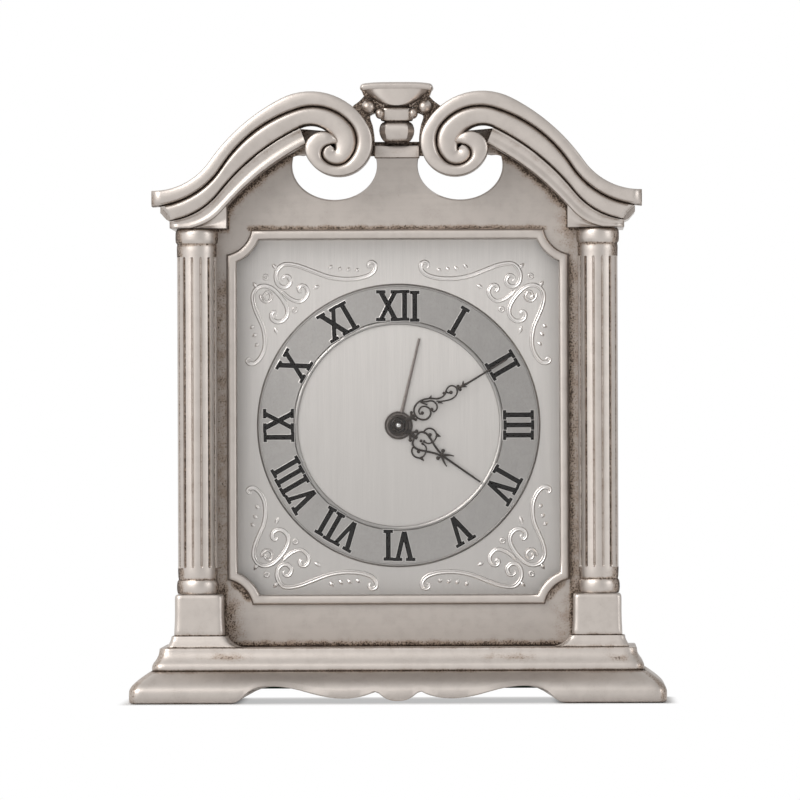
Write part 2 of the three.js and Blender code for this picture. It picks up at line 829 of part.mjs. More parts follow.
// Points of a shallow arc of the given radius that bulges to the right of its travel.
function arcBetween(from, to, radius) {
  const chord = to.clone().sub(from);
  const half = Math.asin(chord.length() / 2 / radius);
  const heading = Math.atan2(chord.y, chord.x) / degrees(1) + half / degrees(1);
  return arcChain(from.x, from.y, heading, [[radius, -2 * half / degrees(1)]]).slice(1);
}

function addScrolls() {
  addPiece(clock, 'right_scroll', scroll(), silver);
  addPiece(clock, 'left_scroll', scroll(), silver).scale.x = -1;
}

// The crescent under each volute: most of an ellipse with a round outer end, less the volute.
function crescent() {
  const [middleX, middleRise] = crescentShare.map((share) => share * tipX);
  const [halfWidth, halfHeight] = crescentHalfShare.map((share) => share * tipX);
  const [voluteX, voluteRise] = voluteShare.map((share) => share * tipX);
  const top = corniceBottom + crescentTopShare * tipX;
  const hole = new THREE.Shape();
  hole.absellipse(middleX, corniceBottom + middleRise, halfWidth, halfHeight, degrees(170), degrees(372));
  hole.quadraticCurveTo(middleX + halfWidth, top, middleX + 0.75 * halfWidth, top);
  hole.lineTo(voluteX, corniceBottom + voluteRise);
  const volute = disc(voluteX, corniceBottom + voluteRise, voluteHideShare * tipX);
  const tool = slab(hole, -1, panelThickness + 1, 7);
  return cut(tool, slab(volute, -2, panelThickness + 2, 6));
}

function mirrorX(shapePoints) {
  return shapePoints.map((point) => new THREE.Vector2(-point.x, point.y)).reverse();
}

function addFrontFrame() {
  const neckTop = corniceBottom + barRise;
  const side = [
    new THREE.Vector2(caseHalfWidth, tierTop + solderGap),
    new THREE.Vector2(caseHalfWidth, corniceBottom),
    new THREE.Vector2(lowerStart[0], corniceBottom),
    ...lowerEdge,
    new THREE.Vector2(lowerEdge[lowerEdge.length - 1].x, neckTop),
  ];
  const plate = slab(new THREE.Shape([...side, ...mirrorX(side)]), 0, panelThickness);
  const mould = slab(notchedOpening(mouldWidth), -mouldProud, solderGap, 2);
  const opening = slab(notchedOpening(0), -2 * mouldProud, panelThickness + 1, 2);
  const posts = [-1, 1].map((hand) => {
    const place = new THREE.Vector2(hand * (openingHalfWidth + dialScrewOut), dialHeight);
    const post = rod(dialPostRadius, panelThickness - solderGap, dialFront - solderGap, place);
    return post.subtract(bore(screwRadius + runningGap, panelThickness + 1, dialFront, place));
  });
  const hole = crescent();
  const otherHole = crescent().mirror([1, 0, 0]);
  const frame = cut(joined(plate, mould, ...posts), opening, hole, otherHole);
  addPiece(clock, 'front_frame', frame, silver);
}

function addShell() {
  const bottom = tierTop + solderGap;
  const top = corniceBottom - solderGap;
  const shape = rectangle(caseHalfWidth, bottom, top);
  shape.holes.push(rectangle(caseHalfWidth - caseWall, bottom + caseWall, top - caseWall));
  const tube = slab(shape, panelThickness + solderGap, caseBack);
  const inner = caseHalfWidth - caseWall;
  const bosses = [-1, 1].map((hand) => {
    const middle = hand * (inner - bossSize / 2 + solderGap);
    const half = bossSize / 2;
    const boss = block(middle - half, middle + half, caseBack - bossLength, caseBack,
      dialHeight - half, dialHeight + half);
    const place = new THREE.Vector2(middle, dialHeight);
    return boss.subtract(bore(screwRadius + runningGap, caseBack - bossLength + 1, caseBack + 1, place));
  });
  addPiece(clock, 'case_shell', joined(tube, ...bosses), silver);
}

function addRoof() {
  const front = panelThickness + solderGap;
  const ring = (out, z) => {
    const half = caseHalfWidth + out;
    return [[half, coverBack], [-half, coverBack], [-half, front], [half, front]]
      .map(([x, y]) => new THREE.Vector3(x, y, z));
  };
  const firstOut = lowerStart[0] - caseHalfWidth;
  const stepTop = corniceBottom + roofStepHeight;
  addPiece(clock, 'roof_cornice', loft([
    ring(firstOut, corniceBottom),
    ring(firstOut, stepTop),
    ring(firstOut + roofOverhang * 0.35, stepTop + 0.6),
    ring(firstOut + roofOverhang * 0.75, corniceBottom + roofHeight * 0.75),
    ring(firstOut + roofOverhang * 0.75, corniceBottom + roofHeight),
  ]), silver);
}

function addUrn() {
  const barBottom = corniceBottom + barRise;
  const footBottom = barBottom + barHeight;
  const bulbBottom = footBottom + urnFootHeight;
  const bulbTop = bulbBottom + bulbHeight;
  const collarBottom = bulbTop + collarGap;
  const collarTop = collarBottom + collarHeight;
  const bowlTop = collarTop + bowlHeight;
  const rimTop = bowlTop + rimHeight;
  const body = upright([
    [0, footBottom - solderGap],
    [urnFootRadius, footBottom - solderGap],
    [urnNeckRadius, bulbBottom],
    [bulbRadius * 0.85, bulbBottom + bulbHeight * 0.2],
    [bulbRadius, bulbBottom + bulbHeight * 0.55],
    [bulbRadius * 0.85, bulbTop - bulbHeight * 0.1],
    [urnNeckRadius, bulbTop],
    [collarRadius, collarBottom + collarHeight * 0.2],
    [collarRadius, collarTop - collarHeight * 0.2],
    [collarRadius * 0.75, collarTop],
    [bowlRadius * 0.8, collarTop + bowlHeight * 0.35],
    [bowlRadius, bowlTop],
    [rimRadius, bowlTop + rimHeight * 0.25],
    [rimRadius, bowlTop + rimHeight * 0.7],
    [rimRadius * 0.9, rimTop],
    [0, rimTop],
  ], 12, urnFlatness);
  const middleY = -rimRadius * urnFlatness - solderGap;
  const barHalf = voluteInner - solderGap;
  const beadX = voluteInner + beadOut;
  const rest = block(-barHalf, barHalf, 2 * middleY + barInset, -solderGap, barBottom, footBottom);
  const beads = [-1, 1].map((side) => {
    const ball = new THREE.SphereGeometry(beadRadius, 8, 6);
    ball.rotateX(Math.PI / 2);
    ball.translate(side * beadX, middleY, collarTop);
    return solid(ball);
  });
  const links = block(-beadX, beadX, middleY - beadLinkHalf, middleY + beadLinkHalf,
    collarTop - beadLinkHalf, collarTop + beadLinkRise);
  addPiece(clock, 'urn_finial', joined(body.translate([0, middleY, 0]), rest, ...beads, links), silver);
}

function addGlass() {
  const halfWidth = openingHalfWidth + glassLap;
  const bottom = openingBottom - glassLap;
  const top = openingTop + glassLap;
  addPiece(clock, 'dial_glass', slab(rectangle(halfWidth, bottom, top), glassFront, glassBack), clearGlass);
  const frame = rectangle(halfWidth, bottom, top);
  const half = openingHalfWidth + glassFrameInset;
  frame.holes.push(rectangle(half, openingBottom - glassFrameInset, openingTop + glassFrameInset));
  const spacer = slab(frame, glassBack + solderGap, dialFront - solderGap);
  addPiece(clock, 'glass_frame', spacer, greySteel);
}

function addDial() {
  const halfWidth = caseHalfWidth - caseWall - dialMargin;
  const bottom = tierTop + solderGap + caseWall + dialMargin - dialHeight;
  const top = corniceBottom - solderGap - caseWall - dialMargin - dialHeight;
  const sheet = slab(rectangle(halfWidth, bottom, top), dialFront, dialBack);
  const centreHole = bore(alarmTube + holeGap, dialFront - 1, dialBack + 1, centre, 16);
  const screwX = openingHalfWidth + dialScrewOut;
  const screwPlaces = [-1, 1].map((side) => new THREE.Vector2(side * screwX, 0));
  const screwHoles = screwPlaces.map((place) =>
    bore(screwRadius + runningGap, dialFront - 1, dialBack + 1, place));
  const feet = pillarPlaces().map((place) =>
    rod(dialFootRadius, dialBack - solderGap, frontPlateFront - solderGap, place));
  const plate = cut(joined(sheet, ...feet), centreHole, ...screwHoles);
  addPiece(movement, 'dial_plate', plate, satinSilver);
  for (const [name, place] of [['left', screwPlaces[0]], ['right', screwPlaces[1]]]) {
    const headFront = dialBack + solderGap;
    addPiece(movement, `${name}_dial_screw`, turned([
      [0, panelThickness + 2],
      [screwRadius, panelThickness + 2],
      [screwRadius, headFront],
      [screwHeadRadius, headFront],
      [screwHeadRadius, headFront + screwHeadHeight],
      [0, headFront + screwHeadHeight],
    ], 8, place), steel);
  }
  const front = dialFront - solderGap - ringThickness;
  const back = dialFront - solderGap;
  addPiece(movement, 'chapter_ring', turned([
    [ringInnerRadius, back],
    [ringInnerRadius, front + ringBevel],
    [ringInnerRadius + ringBevel, front],
    [ringOuterRadius - 2 * ringBevel, front],
    [ringOuterRadius, back],
    [ringInnerRadius, back],
  ], 48), satinSilver);
}

function disc(x, z, radius, bore = 0) {
  const shape = new THREE.Shape();
  shape.absarc(x, z, radius, 0, 2 * Math.PI);
  if (bore) {
    const hole = new THREE.Path();
    hole.absarc(x, z, bore, 0, 2 * Math.PI, true);
    shape.holes.push(hole);
  }
  return shape;
}

// A leaf from one distance along a hand to another, widest part way.
function needle(from, to, widthAt, width, endWidth = 0.15) {
  const points = [[-0.3, from], [-width / 2, widthAt], [-endWidth, to], [endWidth, to]];
  points.push([width / 2, widthAt], [0.3, from]);
  return new THREE.Shape(points.map(([x, z]) => new THREE.Vector2(x, z)));
}

// Hands are drawn pointing up, at their length in the photograph, and turned to the time shown.
function addHands() {
  const minuteBack = minuteHandBack;
  const minuteScale = minuteHandLength / 29;
  const minute = [
    slab(disc(0, 6.4, 2.1, 1.45), minuteHandFront, minuteBack, 5),
    slab(disc(0.5, 6.2, 0.6), minuteHandFront, minuteBack, 3),
    slab(needle(5.9, 4.5, 5.2, 1.1, 0.4), minuteHandFront, minuteBack),
    slab(disc(1.5, 3.2, 0.75), minuteHandFront, minuteBack, 3),
    slab(disc(-1.5, 3.2, 0.75), minuteHandFront, minuteBack, 3),
    slab(needle(1.5, 4.9, 3, 1.6, 0.5), minuteHandFront, minuteBack),
    slab(needle(8, 13.6, 10.5, 1.5, 0.4), minuteHandFront, minuteBack),
    slab(disc(-0.2, 14.3, 1.35, 0.75), minuteHandFront, minuteBack, 3),
    slab(needle(15.1, 29, 17.2, 1.5), minuteHandFront, minuteBack),
    slab(disc(1, 16.9, 0.5), minuteHandFront, minuteBack, 3),
    slab(disc(-1, 16.9, 0.5), minuteHandFront, minuteBack, 3),
  ];
  const minuteWhole = joined(
    slab(disc(0, 0, minuteHubRadius), minuteHandFront, minuteBack, 6),
    joined(...minute).scale([minuteScale, 1, minuteScale]),
  );
  const minuteBore = bore(cannonTube + solderGap, minuteHandFront - 1, minuteBack + 1, centre, tubeSides);
  const minuteHand = addPiece(movement, 'minute_hand', cut(minuteWhole, minuteBore), bronze);
  minuteHand.rotation.y = degrees(restMinuteAngle);

  const hourFront = hourHandBack - handThickness;
  const hourScale = hourHandLength / 22.5;
  const hour = [];
  for (const side of [-1, 1]) {
    hour.push(slab(disc(side * 2.1, 7.2, 1.65, 1.05), hourFront, hourHandBack, 3));
    hour.push(slab(disc(side * 2.5, 7, 0.55), hourFront, hourHandBack, 3));
    hour.push(bar(new THREE.Vector2(side * 2.3, 6.9), new THREE.Vector2(side * 3.6, 7.3),
      0.5, 0.5, hourFront, hourHandBack));
    hour.push(slab(disc(side * 1.7, 3.9, 0.75), hourFront, hourHandBack, 3));
    hour.push(bar(new THREE.Vector2(side * 1.2, 2), new THREE.Vector2(side * 1.9, 5.9),
      1, 0.7, hourFront, hourHandBack));
    hour.push(bar(new THREE.Vector2(side * 2.2, 8.5), new THREE.Vector2(0, 12.2),
      0.9, 0.7, hourFront, hourHandBack));
    hour.push(slab(disc(side, 12.3, 0.6), hourFront, hourHandBack, 3));
  }
  hour.push(slab(needle(11.4, 22.5, 13.6, 1.7), hourFront, hourHandBack));
  const hourWhole = joined(
    slab(disc(0, 0, hourHubRadius), hourFront, hourHandBack, 6),
    joined(...hour).scale([hourScale, 1, hourScale]),
  );
  const hourHole = bore(hourTube + solderGap, hourFront - 1, hourHandBack + 1, centre, tubeSides);
  const hourHand = addPiece(movement, 'hour_hand', cut(hourWhole, hourHole), bronze);
  hourHand.rotation.y = degrees(restHourAngle);

  const alarmFront = alarmHandBack - handThickness;
  const alarm = joined(
    slab(disc(0, 0, alarmHubRadius), alarmFront, alarmHandBack, 6),
    slab(needle(2, alarmHandLength, 4, 1, 0.25), alarmFront, alarmHandBack),
  );
  const alarmHole = bore(alarmTube + solderGap, alarmFront - 1, alarmHandBack + 1, centre, tubeSides);
  const alarmHand = addPiece(movement, 'alarm_hand', cut(alarm, alarmHole), greySteel);
  alarmHand.rotation.y = degrees(restAlarmAngle);

  const nutBack = minuteHandFront - solderGap;
  addPiece(movement, 'hand_nut', turned([
    [0, nutBack - nutHeight],
    [cannonTube * 0.5, nutBack - nutHeight],
    [cannonTube, nutBack - nutHeight * 0.5],
    [cannonTube, nutBack],
    [0, nutBack],
  ], 12), steel);
}

function pillarPlaces() {
  const x = plateHalfWidth - pillarInset;
  const low = pillarInset - plateDrop;
  const high = plateRise - pillarInset;
  return [[-x, low], [x, low], [-x, high], [x, high]].map((place) => new THREE.Vector2(...place));
}

function addPlates() {
  const outline = rectangle(plateHalfWidth, -plateDrop, plateRise, plateCorner);
  const bored = (front, back, holes) => {
    const plate = slab(outline, front, back, 3);
    const tools = holes.map(([place, radius]) => bore(radius + runningGap, front - 1, back + 1, place, 6));
    return cut(plate, ...tools);
  };
  const running = (places, radius) => places.map((place) => [place, radius]);
  const barrels = [timeBarrelPlace, alarmBarrelPlace];
  const shared = [
    ...running([thirdPlace, fourthPlace, alarmEscapePlace, hammerPlace], pivotRadius),
    [centre, settingArborRadius],
    [alarmSetPlace, alarmSetRadius],
  ];
  const frontHoles = [
    ...shared,
    ...running([minuteWheelPlace, escapePlace, ...barrels], pivotRadius),
  ];
  addPiece(movement, 'front_plate', bored(frontPlateFront, frontPlateBack, frontHoles), brass);
  const rearHoles = [
    ...shared,
    ...running(barrels, windingArborRadius),
    ...running([palletPlace, balancePlace], pivotRadius),
    [escapePlace, arborRadius],
    [stopPinPlace, stopPinRadius],
  ];
  const rear = bored(rearPlateFront, rearPlateBack, rearHoles);
  const studBack = rearPlateBack + ratchetAt + ratchetThickness;
  const studs = barrels.map((place) =>
    rod(clickStudRadius, rearPlateBack - solderGap, studBack, clickPivot(place)));
  addPiece(movement, 'rear_plate', joined(rear, ...studs), brass);
  pillarPlaces().forEach((place, i) => {
    const from = frontPlateBack + solderGap;
    const to = rearPlateFront - solderGap;
    addPiece(movement, `plate_pillar_${i + 1}`, turned([
      [0, from],
      [pillarRadius, from],
      [pillarRadius, from + 1],
      [pillarRadius * 0.75, from + 1.4],
      [pillarRadius * 0.75, to - 1.4],
      [pillarRadius, to - 1],
      [pillarRadius, to],
      [0, to],
    ], 8, place), brass);
  });
}

// An arbor with reduced ends that run in the two plates.
function pivotedArbor(place, front, back, radius = arborRadius) {
  return turned([
    [0, front - pivotLength],
    [pivotRadius, front - pivotLength],
    [pivotRadius, front + solderGap],
    [radius, front + solderGap],
    [radius, back - solderGap],
    [pivotRadius, back - solderGap],
    [pivotRadius, back + pivotLength],
    [0, back + pivotLength],
  ], 6, place);
}

function wheel(teeth, module, turn, place, at) {
  return placed(toothOutline(teeth, module, turn), place, at, at + wheelThickness);
}

// A pinion that spans the wheel it meshes with, with a margin on each side.
function pinion(teeth, module, turn, place, wheelAt) {
  const from = wheelAt - pinionLead;
  return placed(toothOutline(teeth, module, turn), place, from, from + pinionLength);
}

function addGoingTrain() {
  const centrePinionTurn = meshTurn(barrelTeeth, 0, timeBarrelPlace, centre, centrePinionTeeth);
  const thirdPinionTurn = meshTurn(centreTeeth, 0, centre, thirdPlace, thirdPinionTeeth);
  const fourthPinionTurn = meshTurn(thirdTeeth, 0, thirdPlace, fourthPlace, fourthPinionTeeth);
  const escapePinionTurn = meshTurn(fourthTeeth, 0, fourthPlace, escapePlace, escapePinionTeeth);
  const level = (at) => frontPlateBack + at;

  const tubeFront = frontPlateBack + runningGap;
  const centreTube = pipe(cannonBore, cannonTube, tubeFront, rearPlateFront - runningGap, centre);
  const centreBore = bore(cannonBore, frontPlateFront, rearPlateBack, centre, tubeSides);
  const centreBody = joined(
    wheel(centreTeeth, centreModule, 0, centre, level(centreWheelAt)),
    pinion(centrePinionTeeth, barrelModule, centrePinionTurn, centre, level(barrelAt)),
  ).subtract(centreBore);
  addPiece(movement, 'centre_wheel', joined(centreBody, centreTube), brass);
  addPiece(movement, 'third_wheel', joined(
    pivotedArbor(thirdPlace, frontPlateBack, rearPlateFront),
    wheel(thirdTeeth, thirdModule, 0, thirdPlace, level(thirdWheelAt)),
    pinion(thirdPinionTeeth, centreModule, thirdPinionTurn, thirdPlace, level(centreWheelAt)),
  ), brass);
  addPiece(movement, 'fourth_wheel', joined(
    pivotedArbor(fourthPlace, frontPlateBack, rearPlateFront),
    wheel(fourthTeeth, fourthModule, 0, fourthPlace, level(fourthWheelAt)),
    pinion(fourthPinionTeeth, thirdModule, fourthPinionTurn, fourthPlace, level(thirdWheelAt)),
  ), brass);

  const escapeAt = rearPlateBack + escapeWheelAt;
  const escapeShape = sawOutline(escapeTeeth, escapeRadius, escapeRadius - escapeToothDepth);
  const escapeArbor = turned([
    [0, frontPlateBack - pivotLength],
    [pivotRadius, frontPlateBack - pivotLength],
    [pivotRadius, frontPlateBack + solderGap],
    [arborRadius, frontPlateBack + solderGap],
    [arborRadius, escapeAt + wheelThickness + solderGap],
    [0, escapeAt + wheelThickness + solderGap],
  ], 6, escapePlace);
  addPiece(movement, 'escape_wheel', joined(
    escapeArbor,
    placed(escapeShape, escapePlace, escapeAt, escapeAt + wheelThickness),
    pinion(escapePinionTeeth, fourthModule, escapePinionTurn, escapePlace, level(fourthWheelAt)),
  ), steel);
  addPallet(escapeAt);
  addBalance(escapeAt);
}

// Two arms that reach round a wheel from beside it.
function anchorArms(place, towards, at) {
  const line = Math.atan2(towards.y - place.y, towards.x - place.x) / degrees(1);
  return [-1, 1].map((side) => {
    const end = away(place, anchorArm, line + side * anchorSpread);
    return bar(place, end, anchorWidth, anchorWidth * 0.7, at, at + wheelThickness);
  });
}

function addPallet(at) {
  const reach = balanceDistance - rollerRadius - 2 * holeGap;
  const line = Math.atan2(balancePlace.y - palletPlace.y, balancePlace.x - palletPlace.x) / degrees(1);
  const end = away(palletPlace, reach, line);
  addPiece(movement, 'pallet_lever', joined(
    turned([
      [0, rearPlateBack - pivotLength],
      [pivotRadius, rearPlateBack - pivotLength],
      [pivotRadius, rearPlateBack + runningGap],
      [arborRadius, rearPlateBack + runningGap],
      [arborRadius, at + wheelThickness + solderGap],
      [0, at + wheelThickness + solderGap],
    ], 6, palletPlace),
    ...anchorArms(palletPlace, escapePlace, at),
    bar(palletPlace, end, anchorWidth * 0.8, anchorWidth, at, at + wheelThickness),
  ), steel);
}

function addBalance(at) {
  const rimFront = rearPlateBack + balanceAt;
  const cockFront = rearPlateBack + cockAt;
  const rimShape = disc(0, 0, balanceRadius, balanceRadius - 1);
  const arm = balanceRadius - 0.5;
  const from = (x) => new THREE.Vector2(balancePlace.x + x, balancePlace.y);
  addPiece(movement, 'balance_wheel', joined(
    pivotedArbor(balancePlace, rearPlateBack + runningGap, cockFront - runningGap),
    rod(rollerRadius, at, at + wheelThickness, balancePlace),
    placed(rimShape, balancePlace, rimFront, rimFront + balanceRim, 10),
    bar(from(-arm), from(arm), 1, 1, rimFront + 0.15, rimFront + balanceRim - 0.15),
  ), brass);
  const springFront = rearPlateBack + hairspringAt;
  addPiece(movement, 'hairspring', spiralStrip(hairspringInner, hairspringOuter, hairspringTurns,
    hairspringThickness, springFront, springFront + 0.5, balancePlace), steel);
  const post = rod(pillarRadius, rearPlateBack + solderGap, cockFront + solderGap, cockPostPlace);
  const bridge = bar(cockPostPlace, balancePlace, 4, 3, cockFront, cockFront + cockThickness);
  const nose = rod(1.5, cockFront, cockFront + cockThickness, balancePlace);
  const jewel = bore(pivotRadius + runningGap, cockFront - 1, cockFront + 2, balancePlace);
  addPiece(movement, 'balance_cock', cut(joined(post, bridge, nose), jewel), brass);
}

// A spring barrel: a toothed cup, open to the rear, that turns on its winding arbor.
function barrel(teeth, module, drum, place) {
  const at = frontPlateBack + barrelAt;
  const back = rearPlateFront - barrelEndGap;
  const rim = placed(toothOutline(teeth, module, 0), place, at, at + barrelRimHeight);
  const cup = rod(drum, at, back, place, 20);
  const hollow = rod(drum - barrelWall, at + barrelRimHeight, back + 1, place, 20);
  return cut(joined(rim, cup), hollow, bore(windingArborRadius + runningGap, at - 1, back, place));
}

function mainspring(drum, place) {
  const front = frontPlateBack + barrelAt + barrelRimHeight + holeGap;
  const back = rearPlateFront - barrelEndGap - holeGap;
  const inner = windingArborRadius + 2 * holeGap;
  const outer = drum - barrelWall - 2 * holeGap;
  return spiralStrip(inner, outer, mainspringTurns, mainspringThickness, front, back, place);
}

// The winding arbor runs from the front plate through the barrel to the key behind the cover.
function windingArbor(place) {
  const ratchetFront = rearPlateBack + ratchetAt;
  const shape = sawOutline(ratchetTeeth, ratchetRadius, ratchetRadius - ratchetToothDepth);
  const arbor = turned([
    [0, frontPlateBack - pivotLength],
    [pivotRadius, frontPlateBack - pivotLength],
    [pivotRadius, frontPlateBack + solderGap],
    [windingArborRadius, frontPlateBack + solderGap],
    [windingArborRadius, coverBack + keyStandOff + keyHubLength - 1],
    [0, coverBack + keyStandOff + keyHubLength - 1],
  ], 8, place);
  return joined(arbor, placed(shape, place, ratchetFront, ratchetFront + ratchetThickness));
}

function clickPivot(place) {
  return away(place, ratchetRadius + clickPivotOut, 90);
}

// The click rests with its nose just off the ratchet's tips, as it rides over them in winding.
function click(place) {
  const pivot = clickPivot(place);
  const nose = away(place, ratchetRadius + clickNoseGap, 90 - clickLead);
  const front = rearPlateBack + ratchetAt;
  const body = joined(
    rod(clickRadius, front, front + ratchetThickness, pivot),
    bar(pivot, nose, 2 * clickRadius * 0.8, 0.5, front, front + ratchetThickness),
  );
  const lap = rod(ratchetRadius + clickNoseGap, front - 1, front + 3, place, 24);
  return cut(body, bore(clickStudRadius + runningGap, front - 1, front + 3, pivot), lap);
}

// A winding key: a hub that slips on the arbor and a flat bow with two round lobes.
function key(place) {
  const front = coverBack + keyStandOff;
  const hubBack = front + keyHubLength;
  const hub = rod(keyHubRadius, front, hubBack, place, 14);
  const socket = bore(windingArborRadius + solderGap, front - 1, hubBack - 1 + solderGap, place);
  const shape = new THREE.Shape();
  const lobe = keyWingHeight / 2;
  const half = keyWingWidth / 2 - lobe;
  shape.moveTo(-half * 0.5, -0.8);
  shape.lineTo(half * 0.5, -0.8);
  shape.absarc(half, lobe, lobe, -Math.PI / 2, Math.PI * 0.75);
  shape.lineTo(0, keyWingHeight * 0.7);
  shape.absarc(-half, lobe, lobe, Math.PI * 0.25, Math.PI * 1.5);
  const bow = new THREE.ExtrudeGeometry(shape, {
    depth: keyWingThickness,
    bevelEnabled: false,
    curveSegments: 4,
  });
  bow.translate(0, hubBack, -keyWingThickness / 2);
  bow.translate(place.x, 0, place.y);
  return joined(cut(hub, socket), solid(bow));
}

function addWinding() {
  const sets = [
    ['time', timeBarrelPlace, barrelTeeth, barrelModule, timeDrum],
    ['alarm', alarmBarrelPlace, alarmBarrelTeeth, alarmModule, alarmDrum],
  ];
  for (const [name, place, teeth, module, drum] of sets) {
    addPiece(movement, `${name}_barrel`, barrel(teeth, module, drum, place), brass);
    addPiece(movement, `${name}_mainspring`, mainspring(drum, place), steel);
    addPiece(movement, `${name}_winding_arbor`, windingArbor(place), steel);
    addPiece(movement, `${name}_click`, click(place), steel);
    addPiece(movement, `${name}_key`, key(place), brass);
  }
}

// A ribbed knob with a bore for its arbor, open to the front.
function knob(place, arbor) {
  const front = coverBack + knobStandOff;
  const back = front + knobLength;
  const body = placed(pointedOutline(knobRibs, knobRadius, knobRadius - 0.4, 0), place, front, back);
  return cut(body, bore(arbor + solderGap, front - 1, back - 1, place));
}

function addMotionWorks() {
  const knobBack = coverBack + knobStandOff + knobLength - 1 - solderGap;
  addPiece(movement, 'setting_arbor', rod(settingArborRadius, minuteHandFront, knobBack, centre), steel);
  addPiece(movement, 'time_set_knob', knob(centre, settingArborRadius), brass);

  const cannonFrom = minuteWheelAt - 0.5 * wheelGap;
  const cannonTo = cannonFrom + wheelThickness + wheelGap;
  const cannonLeaves = placed(toothOutline(cannonTeeth, motionModule, 0), centre, cannonFrom, cannonTo);
  const cannon = joined(
    pipe(cannonBore, cannonTube, minuteHandFront, frontPlateFront - runningGap, centre),
    cannonLeaves.subtract(bore(cannonBore, cannonFrom - 1, cannonTo + 1, centre, tubeSides)),
  );
  addPiece(movement, 'cannon_pinion', cannon, steel);

  const minuteTurn = meshTurn(cannonTeeth, 0, centre, minuteWheelPlace, minuteTeeth);
  const hourTurn = meshTurn(minutePinionTeeth, 0, minuteWheelPlace, centre, hourTeeth);
  const pinionFrom = hourWheelAt - 0.5 * wheelGap;
  const minuteArbor = turned([
    [0, pinionFrom],
    [arborRadius, pinionFrom],
    [arborRadius, frontPlateFront - runningGap],
    [pivotRadius, frontPlateFront - runningGap],
    [pivotRadius, frontPlateFront + pivotLength],
    [0, frontPlateFront + pivotLength],
  ], 6, minuteWheelPlace);
  addPiece(movement, 'minute_wheel', joined(
    minuteArbor,
    placed(toothOutline(minuteTeeth, motionModule, minuteTurn), minuteWheelPlace,
      minuteWheelAt, minuteWheelAt + wheelThickness),
    placed(toothOutline(minutePinionTeeth, hourModule, 0), minuteWheelPlace,
      pinionFrom, minuteWheelAt + solderGap),
  ), brass);

  const sleeveWheel = (name, inner, tube, front, at, outline) => {
    const sleeve = pipe(inner, tube, front, at + wheelThickness, centre);
    const rim = placed(outline, centre, at, at + wheelThickness);
    const hole = bore(inner, at - 1, at + 2, centre, tubeSides);
    addPiece(movement, name, joined(cut(rim, hole), sleeve), brass);
  };
  sleeveWheel('hour_wheel', hourBore, hourTube, hourHandBack - handThickness, hourWheelAt,
    toothOutline(hourTeeth, hourModule, hourTurn));
  sleeveWheel('alarm_wheel', alarmBore, alarmTube, alarmHandBack - handThickness, alarmWheelAt,
    toothOutline(alarmWheelTeeth, alarmSetModule, 0));

  const setTurn = meshTurn(alarmWheelTeeth, 0, centre, alarmSetPlace, alarmPinionTeeth);
  const setFrom = alarmWheelAt - 0.5 * wheelGap;
  addPiece(movement, 'alarm_set_arbor', joined(
    rod(alarmSetRadius, setFrom, knobBack, alarmSetPlace),
    placed(toothOutline(alarmPinionTeeth, alarmSetModule, setTurn), alarmSetPlace,
      setFrom, alarmWheelAt + wheelThickness + 0.5 * wheelGap),
  ), steel);
  addPiece(movement, 'alarm_set_knob', knob(alarmSetPlace, alarmSetRadius), brass);
}

function addAlarmWork() {
  const leaves = alarmEscapePinionTeeth;
  const pinionTurn = meshTurn(alarmBarrelTeeth, 0, alarmBarrelPlace, alarmEscapePlace, leaves);
  const at = frontPlateBack + alarmEscapeAt;
  const shape = pointedOutline(alarmEscapeTeeth, alarmEscapeRadius, alarmEscapeRadius - 1, 0);
  addPiece(movement, 'alarm_escape_wheel', joined(
    pivotedArbor(alarmEscapePlace, frontPlateBack, rearPlateFront),
    placed(shape, alarmEscapePlace, at, at + wheelThickness),
    pinion(leaves, alarmModule, pinionTurn, alarmEscapePlace, frontPlateBack + barrelAt),
  ), brass);
  const headFront = at - hammerHeadLength / 2;
  addPiece(movement, 'alarm_hammer', joined(
    pivotedArbor(hammerPlace, frontPlateBack, rearPlateFront),
    ...anchorArms(hammerPlace, alarmEscapePlace, at),
    bar(hammerPlace, hammerHeadPlace, hammerArmWidth, hammerArmWidth, at, at + wheelThickness),
    rod(hammerHeadRadius, headFront, headFront + hammerHeadLength, hammerHeadPlace),
  ), steel);
}

